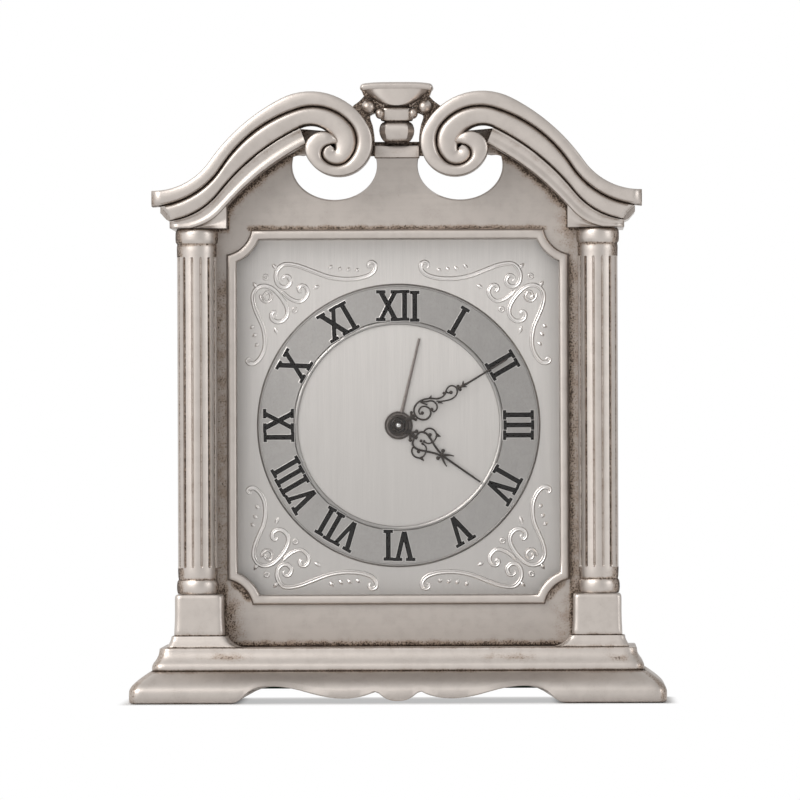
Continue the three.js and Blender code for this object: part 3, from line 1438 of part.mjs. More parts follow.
function addBackCover() {
  const bottom = tierTop + solderGap - dialHeight;
  const top = corniceBottom - solderGap - dialHeight;
  const sheet = slab(rectangle(caseHalfWidth, bottom, top), coverFront, coverBack);
  const hole = (place, radius) => bore(radius + runningGap, coverFront - 1, coverBack + 1, place);
  const inner = caseHalfWidth - caseWall;
  const screwX = inner - bossSize / 2 + solderGap;
  const screwPlaces = [-1, 1].map((side) => new THREE.Vector2(side * screwX, 0));
  const postPlace = new THREE.Vector2(gongPostX, hammerHeadPlace.y);
  const postFront = frontPlateBack + alarmEscapeAt - hammerHeadLength / 2;
  const cover = cut(
    joined(sheet, rod(gongPostRadius, postFront, coverFront + solderGap, postPlace)),
    hole(centre, settingArborRadius),
    hole(alarmSetPlace, alarmSetRadius),
    hole(timeBarrelPlace, windingArborRadius),
    hole(alarmBarrelPlace, windingArborRadius),
    hole(stopPinPlace, stopPinRadius),
    ...screwPlaces.map((place) => hole(place, screwRadius)),
  );
  addPiece(movement, 'back_cover', cover, silver);
  for (const [name, place] of [['left', screwPlaces[0]], ['right', screwPlaces[1]]]) {
    const headFront = coverBack + solderGap;
    addPiece(movement, `${name}_cover_screw`, turned([
      [0, caseBack - bossLength / 2],
      [screwRadius, caseBack - bossLength / 2],
      [screwRadius, headFront],
      [screwHeadRadius, headFront],
      [screwHeadRadius, headFront + screwHeadHeight * 0.6],
      [screwHeadRadius * 0.7, headFront + screwHeadHeight],
      [0, headFront + screwHeadHeight],
    ], 8, place), steel);
  }
  const headFront = coverBack + solderGap;
  addPiece(movement, 'alarm_stop_pin', turned([
    [0, rearPlateBack - pivotLength],
    [stopPinRadius, rearPlateBack - pivotLength],
    [stopPinRadius, headFront + stopReach - stopHeadHeight],
    [stopHeadRadius, headFront + stopReach - stopHeadHeight],
    [stopHeadRadius, headFront + stopReach - 0.5],
    [stopHeadRadius - 0.5, headFront + stopReach],
    [0, headFront + stopReach],
  ], 8, stopPinPlace), steel);
}

addBase();
addColumns();
addFrontFrame();
addScrolls();
addUrn();
addShell();
addRoof();
addGlass();
addDial();
addHands();
addPlates();
addGoingTrain();
addWinding();
addMotionWorks();
addAlarmWork();
addBackCover();

// The origin is under the middle of everything, keys included.
const extent = new THREE.Box3().setFromObject(clock);
clock.position.y = -(extent.min.y + extent.max.y) / 2;

export default clock;
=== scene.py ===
import math

import bmesh
import bpy
import numpy as np
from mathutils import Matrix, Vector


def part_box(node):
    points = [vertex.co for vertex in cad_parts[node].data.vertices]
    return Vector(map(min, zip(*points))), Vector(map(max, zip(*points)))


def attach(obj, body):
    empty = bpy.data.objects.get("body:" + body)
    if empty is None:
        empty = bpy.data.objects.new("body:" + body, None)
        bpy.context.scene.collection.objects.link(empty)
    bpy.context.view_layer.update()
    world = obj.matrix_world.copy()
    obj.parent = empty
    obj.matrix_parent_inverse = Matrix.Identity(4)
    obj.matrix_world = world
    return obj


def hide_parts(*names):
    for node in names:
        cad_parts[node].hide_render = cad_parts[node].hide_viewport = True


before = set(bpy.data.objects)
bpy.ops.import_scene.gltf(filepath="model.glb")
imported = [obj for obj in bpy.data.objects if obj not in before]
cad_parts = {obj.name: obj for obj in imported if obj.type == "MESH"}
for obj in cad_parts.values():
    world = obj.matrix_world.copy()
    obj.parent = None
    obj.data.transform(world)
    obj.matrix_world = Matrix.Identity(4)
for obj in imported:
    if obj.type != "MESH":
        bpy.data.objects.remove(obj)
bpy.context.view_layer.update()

# Sizes below are millimetres in the frame's own place: +Z up, the dial faces -Y.
mm = 0.001


def cornersOf(node):
    # Lowest and highest corner of a node's box.
    low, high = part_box(node)
    return np.array(low) / mm, np.array(high) / mm


def boxMiddle(node):
    # Middle, front, back and half width of a node's box.
    low, high = cornersOf(node)
    return (low[0] + high[0]) / 2, (low[2] + high[2]) / 2, low[1], high[1], (high[0] - low[0]) / 2


hair = 0.1  # the gap between pieces that meet
panelFront = cornersOf("left_pedestal")[1][1] + hair
panelBack = panelFront + 3.0


def feed(tree, place, value):
    # Links a shader value to a socket, or sets the socket to a number, vector or colour.
    if isinstance(value, Wire):
        tree.links.new(value.socket, place)
    else:
        place.default_value = (*value, 1.0) if place.type == "RGBA" else value


class Wire:
    # A shader value. Arithmetic on it adds Math nodes.
    def __init__(self, tree, socket):
        self.tree, self.socket = tree, socket

    def join(self, operation, *values):
        node = self.tree.nodes.new("ShaderNodeMath")
        node.operation = operation
        for place, value in zip(node.inputs, values):
            feed(self.tree, place, value)
        return Wire(self.tree, node.outputs[0])

    def __add__(self, other):
        return self.join("ADD", self, other)

    def __radd__(self, other):
        return self.join("ADD", other, self)

    def __sub__(self, other):
        return self.join("SUBTRACT", self, other)

    def __rsub__(self, other):
        return self.join("SUBTRACT", other, self)

    def __mul__(self, other):
        return self.join("MULTIPLY", self, other)

    def __rmul__(self, other):
        return self.join("MULTIPLY", other, self)

    def __abs__(self):
        return self.join("ABSOLUTE", self)

    def clamp(self):
        return self.join("MINIMUM", self.most(0.0), 1.0)

    def most(self, other):
        return self.join("MAXIMUM", self, other)

    def reach(self, other):
        # The length of a line that runs this far one way and that far the other.
        return self.join("SQRT", self * self + other * other)


class Nodes:
    # Adds nodes to one tree and links what feeds them.
    def __init__(self, tree):
        self.tree = tree

    def add(self, kind, settings=None, inputs=None, output=0):
        # A node of any type: its settings first, then the values or links of its sockets.
        node = self.tree.nodes.new(kind)
        for key, value in (settings or {}).items():
            setattr(node, key, value)
        for key, value in (inputs or {}).items():
            feed(self.tree, node.inputs[key], value)
        return node if output is None else Wire(self.tree, node.outputs[output])

    def seen(self):
        # One for what the camera sees, and one for what metal or glass sees.
        rays = self.add("ShaderNodeLightPath", output=None)
        camera, glossy, through = (Wire(self.tree, rays.outputs[f"Is {kind} Ray"])
                                   for kind in ("Camera", "Glossy", "Transmission"))
        return camera, (glossy + through).clamp()


class Finish(Nodes):
    # One material and its node tree, which measures places in millimetres.
    def __init__(self, name):
        self.material = bpy.data.materials.new(name)
        self.material.use_nodes = True
        super().__init__(self.material.node_tree)
        self.shader = self.tree.nodes["Principled BSDF"]
        place = self.add("ShaderNodeTexCoord", output="Object")
        self.place = self.add("ShaderNodeVectorMath", {"operation": "SCALE"}, {0: place, "Scale": 1 / mm})
        parts = self.add("ShaderNodeSeparateXYZ", {}, {0: self.place}, output=None)
        self.x, self.y, self.z = (Wire(self.tree, socket) for socket in parts.outputs)

    def show(self, first, second, share):
        # Blends two shaders into the material's surface.
        blend = self.add("ShaderNodeMixShader", {}, {0: share, 1: first, 2: second})
        feed(self.tree, self.tree.nodes["Material Output"].inputs["Surface"], blend)
        return self.material

    def attribute(self, name):
        return self.add("ShaderNodeAttribute", {"attribute_name": name}, output="Fac")

    def noise(self, scale, detail=3.0, stretch=(1, 1, 1), rough=0.55):
        # Cloudy noise, drawn out along an axis whose stretch is small.
        place = self.add("ShaderNodeVectorMath", {"operation": "MULTIPLY"}, {0: self.place, 1: stretch})
        return self.add("ShaderNodeTexNoise", {}, {"Vector": place, "Scale": scale, "Detail": detail,
                                                   "Roughness": rough})

    def ramp(self, value, low, high):
        # None at the first value, one at the second and a smooth rise between.
        return self.add("ShaderNodeMapRange", {"interpolation_type": "SMOOTHSTEP"},
                        {"Value": value, "From Min": low, "From Max": high})

    def mix(self, share, first, second):
        return self.add("ShaderNodeMix", {"data_type": "RGBA"}, {0: share, 6: first, 7: second}, 2)

    def bump(self, height, distance, strength=1.0):
        return self.add("ShaderNodeBump", {}, {"Height": height, "Distance": distance,
                                               "Strength": strength}, output="Normal")

    def set(self, **values):
        for key, value in values.items():
            feed(self.tree, self.shader.inputs[key.replace("_", " ")], value)
        return self.material


def gridFaces(rows, columns, closeRows, closeColumns):
    # Four corners for each cell of a grid of points, which can close on itself either way.
    row = np.arange(rows if closeRows else rows - 1)[:, None]
    column = np.arange(columns if closeColumns else columns - 1)[None, :]
    nextRow, nextColumn = (row + 1) % rows, (column + 1) % columns
    corners = [row * columns + column, nextRow * columns + column,
               nextRow * columns + nextColumn, row * columns + nextColumn]
    return np.stack(corners, -1).reshape(-1, 4)


def stacked(*parts):
    # Coordinates brought to one shape and put together as points.
    return np.stack(np.broadcast_arrays(*parts), -1)


def circle(turn):
    # Points on a circle of radius one at the given angles.
    return stacked(np.cos(turn), np.sin(turn))


class Shell:
    # Collects surfaces, then welds them into one outward-facing mesh. Each point keeps how much
    # tarnish has settled there.
    def __init__(self):
        self.points, self.tarnish, self.faces, self.count = [], [], [], 0

    def put(self, points, tarnish, faces):
        # Adds points, their tarnish and faces that count from the first of them.
        points = np.asarray(points, float).reshape(-1, 3)
        self.points.append(points)
        self.tarnish.append(np.broadcast_to(np.ravel(tarnish), len(points)))
        self.faces.extend([[int(k) + self.count for k in face] for face in faces])
        self.count += len(points)
        return self

    def grid(self, points, tarnish=0.0, closeRows=False, closeColumns=False):
        # A surface over a grid of points, closed along either direction if asked.
        points = np.asarray(points, float)
        rows, columns = points.shape[:2]
        tarnish = np.broadcast_to(tarnish, (rows, columns))
        return self.put(points, tarnish, gridFaces(rows, columns, closeRows, closeColumns))

    def cap(self, loop, tarnish=0.0):
        # One flat face inside a closed outline.
        return self.put(loop, tarnish, [list(range(len(loop)))])

    def tube(self, rows, tarnish=0.0, first=0.0, last=0.0):
        # Closed outlines one after another, with both ends capped.
        self.grid(np.stack(rows), tarnish, closeColumns=True)
        return self.cap(rows[0], first).cap(rows[-1], last)

    def turned(self, profile, sides, x, z, tarnish=0.0, closeRows=False):
        # A profile of radius and depth turned about a front-to-back line.
        return self.grid(lathe(profile, sides, "y", (x, 0, z)), tarnish, closeRows, True)

    def slab(self, points, front, back, tarnish=0.0):
        # A patch of the X-Z plane given as a grid, its front raised to a depth at each point, with
        # walls round it and a flat back.
        points = np.asarray(points, float)
        tarnish = np.broadcast_to(tarnish, points.shape[:2])
        top, bottom = (stacked(points[..., 0], depth, points[..., 1]) for depth in (front, back))
        self.grid(top, tarnish).grid(bottom[:, ::-1], 0.2)
        for edge in (np.s_[0, :], np.s_[-1, :], np.s_[:, 0], np.s_[:, -1]):
            wall = np.stack([top[edge], 0.5 * (top[edge] + bottom[edge]), bottom[edge]])
            rim = tarnish[edge]
            self.grid(wall, np.stack([rim, rim * 0.3 + 0.1, rim * 0 + 0.12]))
        return self

    def mirrored(self):
        # The same surfaces with left and right exchanged.
        other = Shell()
        other.points = [points * (-1, 1, 1) for points in self.points]
        other.tarnish, other.faces, other.count = list(self.tarnish), list(self.faces), self.count
        return other

    def build(self, name, body, finish, slot, nodes=(), sharp=40.0, weld=0.002):
        # Merges doubled points, turns the faces outwards and puts the piece on its body.
        mesh = bpy.data.meshes.new(name)
        points = np.concatenate(self.points) * mm
        mesh.from_pydata(points.tolist(), [], self.faces)
        layer = mesh.attributes.new("tarnish", "FLOAT", "POINT")
        layer.data.foreach_set("value", np.concatenate(self.tarnish).astype(np.float32))
        work = bmesh.new()
        work.from_mesh(mesh)
        bmesh.ops.remove_doubles(work, verts=work.verts, dist=weld * mm)
        bmesh.ops.dissolve_degenerate(work, edges=work.edges, dist=weld * mm * 0.5)
        bmesh.ops.recalc_face_normals(work, faces=work.faces)
        work.to_mesh(mesh)
        work.free()
        mesh.shade_smooth()
        mesh.set_sharp_from_angle(angle=math.radians(sharp))
        mesh.materials.append(finish)
        piece = bpy.data.objects.new(name, mesh)
        bpy.context.scene.collection.objects.link(piece)
        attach(piece, body)
        if nodes:
            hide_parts(*nodes)
        return piece


def eased(value, places, levels):
    # A line through the given levels that leaves and meets each one flat.
    places, levels = np.asarray(places, float), np.asarray(levels, float)
    value = np.clip(value, places[0], places[-1])
    index = np.clip(np.searchsorted(places, value, side="right") - 1, 0, len(places) - 2)
    share = (value - places[index]) / (places[index + 1] - places[index])
    share = share * share * (3 - 2 * share)
    return levels[index] + share * (levels[index + 1] - levels[index])


def smoothed(value, places, levels):
    # A smooth line through the given levels.
    line = curved(stacked(places, levels), 400)
    return np.interp(value, line[:, 0], line[:, 1])


def spread(line, count):
    # The same line with points at even distances.
    along = np.concatenate([[0], np.cumsum(np.linalg.norm(np.diff(line, axis=0), axis=1))])
    wanted = np.linspace(0, along[-1], count)
    return stacked(*(np.interp(wanted, along, part) for part in line.T))


def curved(points, count):
    # A smooth line through the points, sampled evenly along its length.
    points = np.asarray(points, float)
    whole = np.concatenate([[2 * points[0] - points[1]], points, [2 * points[-1] - points[-2]]])
    share = np.linspace(0, 1, 24, endpoint=False)[:, None]
    line = [0.5 * (2 * b + (c - a) * share + (2 * a - 5 * b + 4 * c - d) * share ** 2
                   + (3 * b - a - 3 * c + d) * share ** 3)
            for a, b, c, d in zip(whole, whole[1:], whole[2:], whole[3:])]
    return spread(np.concatenate(line + [points[-1:]]), count)


def ribbon(line, width, across):
    # Points beside each point of a flat line, on its normal.
    ahead = np.gradient(line, axis=0)
    ahead /= np.linalg.norm(ahead, axis=1)[:, None]
    side = stacked(-ahead[:, 1], ahead[:, 0])
    return line[:, None, :] + side[:, None, :] * width[:, None, None] * across[None, :, None]


def atHeight(flat, z):
    # A level outline raised to one height, or to a height at each point.
    return stacked(*flat.T, z)


def arcChain(x, z, heading, arcs, count):
    # Tangent arcs one after another, each given as radius and turn, with a set number of points each.
    chains, place, heading = [], np.array([x, z], float), math.radians(heading)
    for radius, turn in arcs:
        side = math.copysign(1.0, turn)
        centre = place + radius * side * np.array([-math.sin(heading), math.cos(heading)])
        angles = heading + np.linspace(0, math.radians(turn), count)
        chain = centre + radius * side * stacked(np.sin(angles), -np.cos(angles))
        chains.append(chain)
        place, heading = chain[-1], angles[-1]
    return chains


def lathe(profile, sides, axis="z", centre=(0, 0, 0)):
    # Each (radius, height) of the profile turned about an upright or a front-to-back line.
    angle = np.arange(sides) * 2 * math.pi / sides
    radius, height = np.asarray(profile, float).T[:, :, None]
    across, up = radius * np.cos(angle), radius * np.sin(angle)
    return stacked(*((across, up, height) if axis == "z" else (across, height, up))) + np.array(centre)


def shade(colour, share):
    # The colour times a number.
    return tuple(share * c for c in colour)


warmSilver, oxide, stained = (0.535, 0.487, 0.450), (0.050, 0.034, 0.024), (0.27, 0.185, 0.125)


def silverFinish(name, bright, extra=None, rough=0.4, grain=(1, 1, 1)):
    # Silver plate: tarnish gathers where the mesh says and in cloudy patches, and leaves the
    # rest bright. Thin tarnish is a brown stain and thick tarnish a dark oxide.
    finish = Finish(name)
    settled = finish.attribute("tarnish")
    cloud = finish.noise(0.35, 4.0)
    speck = finish.noise(2.6, 5.0, rough=0.7)
    mottle = finish.noise(0.9, 6.0, grain, 0.65)
    if extra:
        settled = settled.most(extra(finish))
    patches = finish.ramp(cloud, 0.35, 0.68)
    thick = finish.ramp(speck + settled * 0.42 + (patches - 0.5) * 0.05, 0.71, 0.83)
    thin = finish.ramp(settled + (patches - 0.5) * 0.2 + (speck - 0.5) * 0.9, 0.06, 0.65) * 0.72
    clean = finish.mix(finish.ramp(patches * 0.4 + mottle * 0.6, 0.25, 0.75), bright, shade(bright, 0.94))
    colour = finish.mix(thick, finish.mix(thin, clean, stained), oxide)
    return finish.set(Base_Color=colour, Metallic=1.0 - 0.7 * thick,
                      Roughness=rough + 0.35 * thick + (speck - 0.5) * 0.08,
                      Normal=finish.bump(speck, 0.00004, 0.3))


caseSilver = silverFinish("caseSilver", warmSilver)
# Centre of the opening's hollow corner, round which tarnish lies, and centre and radius of the arc
# along the scroll's underside, which shades the panel.
panelPit, panelScroll, panelScrollRadius = (39.92, 20.58), (-6.53, 72.14), 60.0
# Marks on the flat panel: the tarnish at the right, how much more there is at the left, and ramps
# that are multiplied together, each along a distance from none to full.
panelMarks = {
    "foot": (0.72, 0.0, ("z", 14.6, 12.5)),
    "beside": (0.3, 0.25, ("x", 33.0, 38.5), ("z", 31.0, 19.0)),
    "edge": (0.7, 0.0, ("x", 37.8, 39.3), ("z", 30.0, 24.0)),
    "pit": (0.5, 0.15, ("pit", 4.9, 6.0), ("pit", 8.0, 7.0), ("x", 38.7, 37.2), ("z", 21.8, 23.3),
            ("z", 30.0, 28.0)),
    "head": (0.6, 0.0, ("z", 108.2, 107.0), ("z", 106.0, 106.7), ("x", 35.0, 33.0)),
    "end": (0.42, -0.25, ("x", 34.0, 38.6), ("z", 94.0, 108.0)),
    "corner": (0.75, 0.0, ("x", 37.4, 38.5), ("z", 105.0, 107.0)),
    "under": (0.8, 0.0, *2 * (("under", -3.6, -0.1), ("z", 107.0, 109.0)), ("x", 15.0, 26.0)),
}


def panelTarnish(finish):
    # Tarnish on the front of the flat panel. The strips beside the columns are darkest along the
    # moulding at the right.
    across, left = abs(finish.x), finish.ramp(finish.x, 10.0, -10.0)
    along = {"x": across, "z": finish.z, "pit": (across - panelPit[0]).reach(finish.z - panelPit[1]),
             "under": (across - panelScroll[0]).reach(finish.z - panelScroll[1]) - panelScrollRadius}
    strip = finish.ramp(across, 38.4, 38.9) * finish.ramp(finish.z + left * 3.0, 104.0, 97.0)
    settled = strip * (0.4 + finish.ramp(across, 40.2, 39.2) * (1 - left) * 0.2)
    for amount, more, *ramps in panelMarks.values():
        mark = amount + left * more
        for key, low, high in ramps:
            mark = mark * finish.ramp(along[key], low, high)
        settled = settled.most(mark)
    return settled * finish.ramp(finish.y, panelFront + 0.9, panelFront + 0.3)


panelSilver = silverFinish("panelSilver", shade(warmSilver, 0.86), panelTarnish, 0.5, (0.06, 1, 1.6))


def brushedFinish(name, colour, strength, rough, stretch, contrast=0.09, metallic=1.0, paintedShade=0.0):
    # Metal with fine lines along one direction.
    finish = Finish(name)
    lines = finish.noise(3.2, 4.0, stretch, 0.6)
    broad = finish.noise(0.5, 2.0, stretch)
    settled = finish.attribute("tarnish")
    tone = finish.mix(finish.ramp(lines * 0.7 + broad * 0.3, 0.3, 0.7), shade(colour, 1 - contrast),
                      shade(colour, 1 + contrast / 2))
    # Painted shade: the plate is darker towards its foot and its sides.
    low = finish.ramp(finish.z, 100.0, 26.0).most(finish.ramp(abs(finish.x), 30.0, 38.0) * 1.3) * paintedShade
    tone = finish.mix(low, tone, shade(colour, 0.55))
    tone = finish.mix(settled.clamp(), tone, (0.09, 0.08, 0.07))
    return finish.set(Base_Color=tone, Metallic=metallic, Roughness=rough + (lines - 0.5) * 0.12,
                      Normal=finish.bump(lines, 0.00003, strength))


dialSilver = brushedFinish("dialSilver", (0.645, 0.615, 0.588), 0.12, 0.36, (1.6, 1.0, 0.03),
                           contrast=0.07, metallic=0.88, paintedShade=0.5)
ringSilver = brushedFinish("ringSilver", (0.352, 0.337, 0.323), 0.12, 0.38, (0.8, 1.0, 0.5))
# Paler than the dial: a painted highlight on the ornament's ribs and the numerals' rims.
engravedHighlightSilver = brushedFinish("engravedHighlightSilver", (0.72, 0.69, 0.665), 0.2, 0.3, (1, 1, 1))


def plainMetal(name, pale, deep, rough, metallic=1.0, specular=0.5, grit=0.2):
    # Metal that drifts between two tones in cloudy patches.
    finish = Finish(name)
    cloud = finish.noise(1.4, 4.0)
    tone = finish.mix(finish.ramp(cloud, 0.3, 0.7), deep, pale)
    return finish.set(Base_Color=tone, Metallic=metallic, Roughness=rough + (cloud - 0.5) * 0.15,
                      Specular_IOR_Level=specular, Normal=finish.bump(cloud, 0.00003, grit))


handBronze = plainMetal("handBronze", (0.030, 0.020, 0.014), (0.014, 0.010, 0.008), 0.42, 0.55)
greySteel = plainMetal("greySteel", (0.20, 0.175, 0.16), (0.14, 0.12, 0.11), 0.45, 0.8)
brightSteel = plainMetal("brightSteel", (0.58, 0.57, 0.56), (0.53, 0.52, 0.51), 0.25, grit=0.06)
brass = plainMetal("brass", (0.58, 0.41, 0.17), (0.50, 0.34, 0.135), 0.3, grit=0.06)
numeralBlack = plainMetal("numeralBlack", (0.007, 0.006, 0.006), (0.012, 0.010, 0.009), 0.8, 0.0, 0.04)


def feltFinish():
    # Two greens mixed by fine noise, which also roughens the surface.
    finish = Finish("greenFelt")
    fibre = finish.noise(6.0, 6.0)
    tone = finish.mix(finish.ramp(fibre, 0.3, 0.7), (0.012, 0.026, 0.018), (0.03, 0.055, 0.038))
    return finish.set(Base_Color=tone, Roughness=0.95, Normal=finish.bump(fibre, 0.0003, 0.8))


def glassFinish():
    # Thin flat glass: clear but for a faint sheen.
    finish = Finish("dialGlass")
    haze = finish.noise(0.15, 2.0)
    clear = finish.add("ShaderNodeBsdfTransparent")
    sheen = finish.add("ShaderNodeBsdfGlossy", {}, {"Roughness": 0.03})
    return finish.show(clear, sheen, 0.012 + haze * 0.012)


greenFelt, dialGlass = feltFinish(), glassFinish()
print("finishes made")


base = {"half": 50.35, "front": panelFront - 10.8, "back": cornersOf("base_plinth")[1][1],
        "corner": 2.4, "lip": 7.0, "skirtOut": 2.1, "under": 4.2,
        "footDirt": 0.25, "endDimming": 0.42, "smudgeTall": 0.8}
# The moulding's profile: heights, and how far it stands out at each.
baseHeights = [0, 0.12, 0.4, 2.1, 2.5, 2.9, 3.3, 3.7, 4.1, 4.6, 5.2, 5.8, 6.4, 6.9, 7.02, 7.15, 7.3, 7.8,
               8.5, 8.9, 9.4, 10, 10.8, 11.6, 12, 12.2, 12.3]
baseOuts = [9.7, 9.95, 10.1, 10.1, 10.08, 10, 9.85, 9.62, 9.3, 8.8, 8.1, 7.3, 6.45, 5.7, 5.15, 4.9, 5.02,
            5.1, 4.98, 4.76, 4.38, 3.98, 3.6, 3.45, 3.42, 3.35, 3.1]
# Height, spread and depth of the tarnish in the seams below and above the upper step.
baseSeams = [(7.1, 0.22, 0.9), (12.3, 0.3, 0.45)]
# Place, width, height and depth of the tarnish spots on the upper step.
baseSmudges = [(-38.5, 5.0, 10.2, 0.5), (25.5, 7.0, 10.2, 0.42), (49.5, 2.5, 9.8, 0.55)]


def ringPath(half, front, back, corner, perSide=8, frontCount=120):
    # A rectangle with rounded front corners. For each point the place on the plain rectangle and
    # how it moves for each millimetre the outline grows.
    arc, line = np.linspace(0, math.pi / 2, 7)[1:], np.linspace(0, 1, frontCount)[1:]
    side = np.linspace(0, 1, perSide)
    rest, near, wide = side[1:], front + corner, half - corner
    runs = [(-half, back + (near - back) * side, -1, -side),
            (-wide - corner * np.cos(arc), near - corner * np.sin(arc), -1, -1),
            (-wide + 2 * wide * line, front, 2 * line - 1, -1),
            (wide + corner * np.sin(arc), near - corner * np.cos(arc), 1, -1),
            (half, near + (back - near) * rest, 1, rest - 1),
            (half - 2 * half * line[:-1], back, 1 - 2 * line[:-1], 0)]
    whole = np.concatenate([stacked(*run) for run in runs])
    return whole[:, :2], whole[:, 2:]


def apronLine():
    # Height of the scrolled lower edge at each distance from the middle: cubic curves end to end.
    curves = [[(37.5, 0), (34.5, 0), (34.5, 3.8), (29.5, 3.8)],
              [(29.5, 3.8), (21.5, 3.8), (19, 1), (12, 1)],
              [(12, 1), (9, 1), (6, 1.8), (5, 2.8)],
              [(5, 2.8), (3.5, 1.4), (2.5, 0.4), (0, 0.4)]]
    share = np.linspace(0, 1, 24)[:, None]
    line = [a * (1 - share) ** 3 + 3 * b * (1 - share) ** 2 * share + 3 * c * (1 - share) * share ** 2
            + d * share ** 3 for a, b, c, d in np.asarray(curves, float)]
    line = np.concatenate(line)[::-1]
    return line[:, 0], line[:, 1]


def makeBase():
    # Every level is the plain rectangle grown by the moulding's profile. Below the lip the levels
    # close up to clear the scrolled edge.
    front, back, lip, tall, near = base["front"], base["back"], base["lip"], base["smudgeTall"], 0.01
    place, grow = ringPath(base["half"], front, back, base["corner"])
    isFront = place[:, 1] < front + near

    def lifted(flat):
        isCut = isFront | (place[:, 1] > back - near)
        return np.where(isCut, np.interp(np.abs(flat[:, 0]), *apronLine(), right=0.0), 0.0)

    # The ends are darker than the front, from the rounded corners back along the sides.
    turned = eased((place[:, 1] - front) / base["corner"], [0, 0.03, 0.15, 1.5, 20], [0, 0, 1, 0.7, 0.3])
    endDarkness = np.where(np.abs(place[:, 0]) > base["half"] - base["corner"], turned, 0.0)
    rows, dirt = [], []
    for height, out in zip(baseHeights, baseOuts):
        lift = lifted(place + grow * out)
        level = np.where(height < lip, lift + height * (1 - lift / lip), height)
        reach = np.interp(level, baseHeights[2:], baseOuts[2:]) - max(0, 0.35 - height)
        flat = place + grow * np.where((lift > near) & (height < lip), reach, out)[:, None]
        rows.append(atHeight(flat, level))
        seam = sum(deep * math.exp(-((height - z) / wide) ** 2) for z, wide, deep in baseSeams)
        smudge = sum(deep * np.exp(-((flat[:, 0] - x) / wide) ** 2 - ((height - z) / tall) ** 2)
                     for x, wide, z, deep in baseSmudges)
        settled = seam + (base["footDirt"] if height < 0.3 else 0) + smudge * isFront
        dirt.append(np.maximum(settled, base["endDimming"] * endDarkness))
    shell = Shell().grid(np.stack(rows), np.stack(dirt), closeColumns=True).cap(rows[-1], 0.25)
    flat = place + grow * base["skirtOut"]
    flat[:, 1] = np.minimum(flat[:, 1], back - 8)
    inner = [atHeight(flat, np.maximum(height, lifted(flat))) for height in (0, base["under"])]
    inner.insert(0, rows[0])
    shell.grid(np.stack(inner), 0.6, closeColumns=True).cap(inner[-1], 0.6)
    return shell.build("basePlinth", "case", caseSilver, "case_silver", ["base_plinth"], sharp=50)


makeBase()


pedestal = {"x": 44.9, "half": 5.45, "corner": 1.2, "depth": 10.7}
# Outward step, the wider step on the inner side, height and tarnish.
pedestalLevels = [(1.7, 4.1, 12.4, 0.7), (1.7, 3.6, 12.5, 0.4), (1.5, 2.6, 12.9, 0.1),
                  (1.12, 1.7, 13.6, 0), (0.85, 1.1, 14.3, 0), (0.8, 0.9, 14.75, 0),
                  (0.72, 0.76, 14.88, 0.2), (0.1, 0.1, 14.9, 1), (0.1, 0.1, 15, 0.9),
                  (0.2, 0.25, 15.25, 0.25), (0.14, 0.18, 16.2, 0), (0.05, 0.06, 18, 0), (0, 0, 20, 0),
                  (0, 0, 23.3, 0), (-0.06, -0.06, 23.85, 0), (-0.25, -0.25, 24.18, 0),
                  (-0.55, -0.55, 24.3, 0.1)]


def makePedestal():
    # The block's outline grown at each level by that level's steps, more on the inner side.
    place, grow = ringPath(pedestal["half"], base["front"], panelFront - hair, pedestal["corner"], 6, 16)
    rows = []
    for out, inner, z, _ in pedestalLevels:
        step = stacked(np.where(grow[:, 0] < 0, inner, out), out)
        rows.append(atHeight(place + grow * step + (pedestal["x"], 0), z))
    # Tarnish lies thick where the block meets the panel.
    depth = (np.stack(rows)[..., 1] - base["front"]) / pedestal["depth"]
    dirt = np.maximum(np.array(pedestalLevels)[:, 3:], eased(depth, [0, 0.55, 1.0], [0, 0.1, 0.95]))
    return Shell().tube(rows, dirt, 0.7, 0.2)


# The flutes' depth, and half their width as a share of the distance between them.
column = {"x": 45.25, "y": base["front"] + 5.45, "shaft": 4.5, "flutes": 14, "depth": 0.45, "gap": 0.155,
          "low": 30.3, "high": 100.4}
# How polishing has worn the flutes towards the middle, and how much tarnish is left in them, on the
# ridges and on the plain rings behind the front, and on the rings' outer side: places and levels.
columnWear = {"worn": ([0, 0.3, 0.6, 1], [0.66, 0.72, 1.2, 1.3]),
              "flutes": ([-1, -0.1, 0.3, 1], [1, 1, 0.5, 0.5]),
              "ridges": ([-1, -0.1, 0.25, 1], [0, 0, 0.4, 0.3]),
              "rings": ([-1, -0.75, -0.3, 0.1, 1], [0, 0, 0.7, 0.35, 0.3]),
              "outer": ([-1, 0.5, 0.8, 1], [0, 0, 0.55, 0.8])}
# Radius, height and tarnish.
columnProfile = [(4.3, 24.4, 0.6), (4.55, 24.45, 0.4), (4.7, 25, 0), (4.76, 25.8, 0), (4.73, 26.6, 0),
                 (4.6, 27.25, 0.1), (4.36, 27.55, 0.75), (4.34, 27.75, 0.6), (4.44, 28.2, 0.1),
                 (4.5, 29.6, 0), (4.5, 30.3, 0), (4.5, 100.4, 0), (4.52, 101.4, 0), (4.54, 102.6, 0.1),
                 (4.45, 103.2, 0.6), (4.52, 103.45, 0.5), (4.75, 103.7, 0.05), (4.83, 104.4, 0),
                 (4.83, 105.6, 0), (4.74, 106.3, 0.1), (4.55, 106.6, 0.7), (4.45, 106.8, 0.9)]


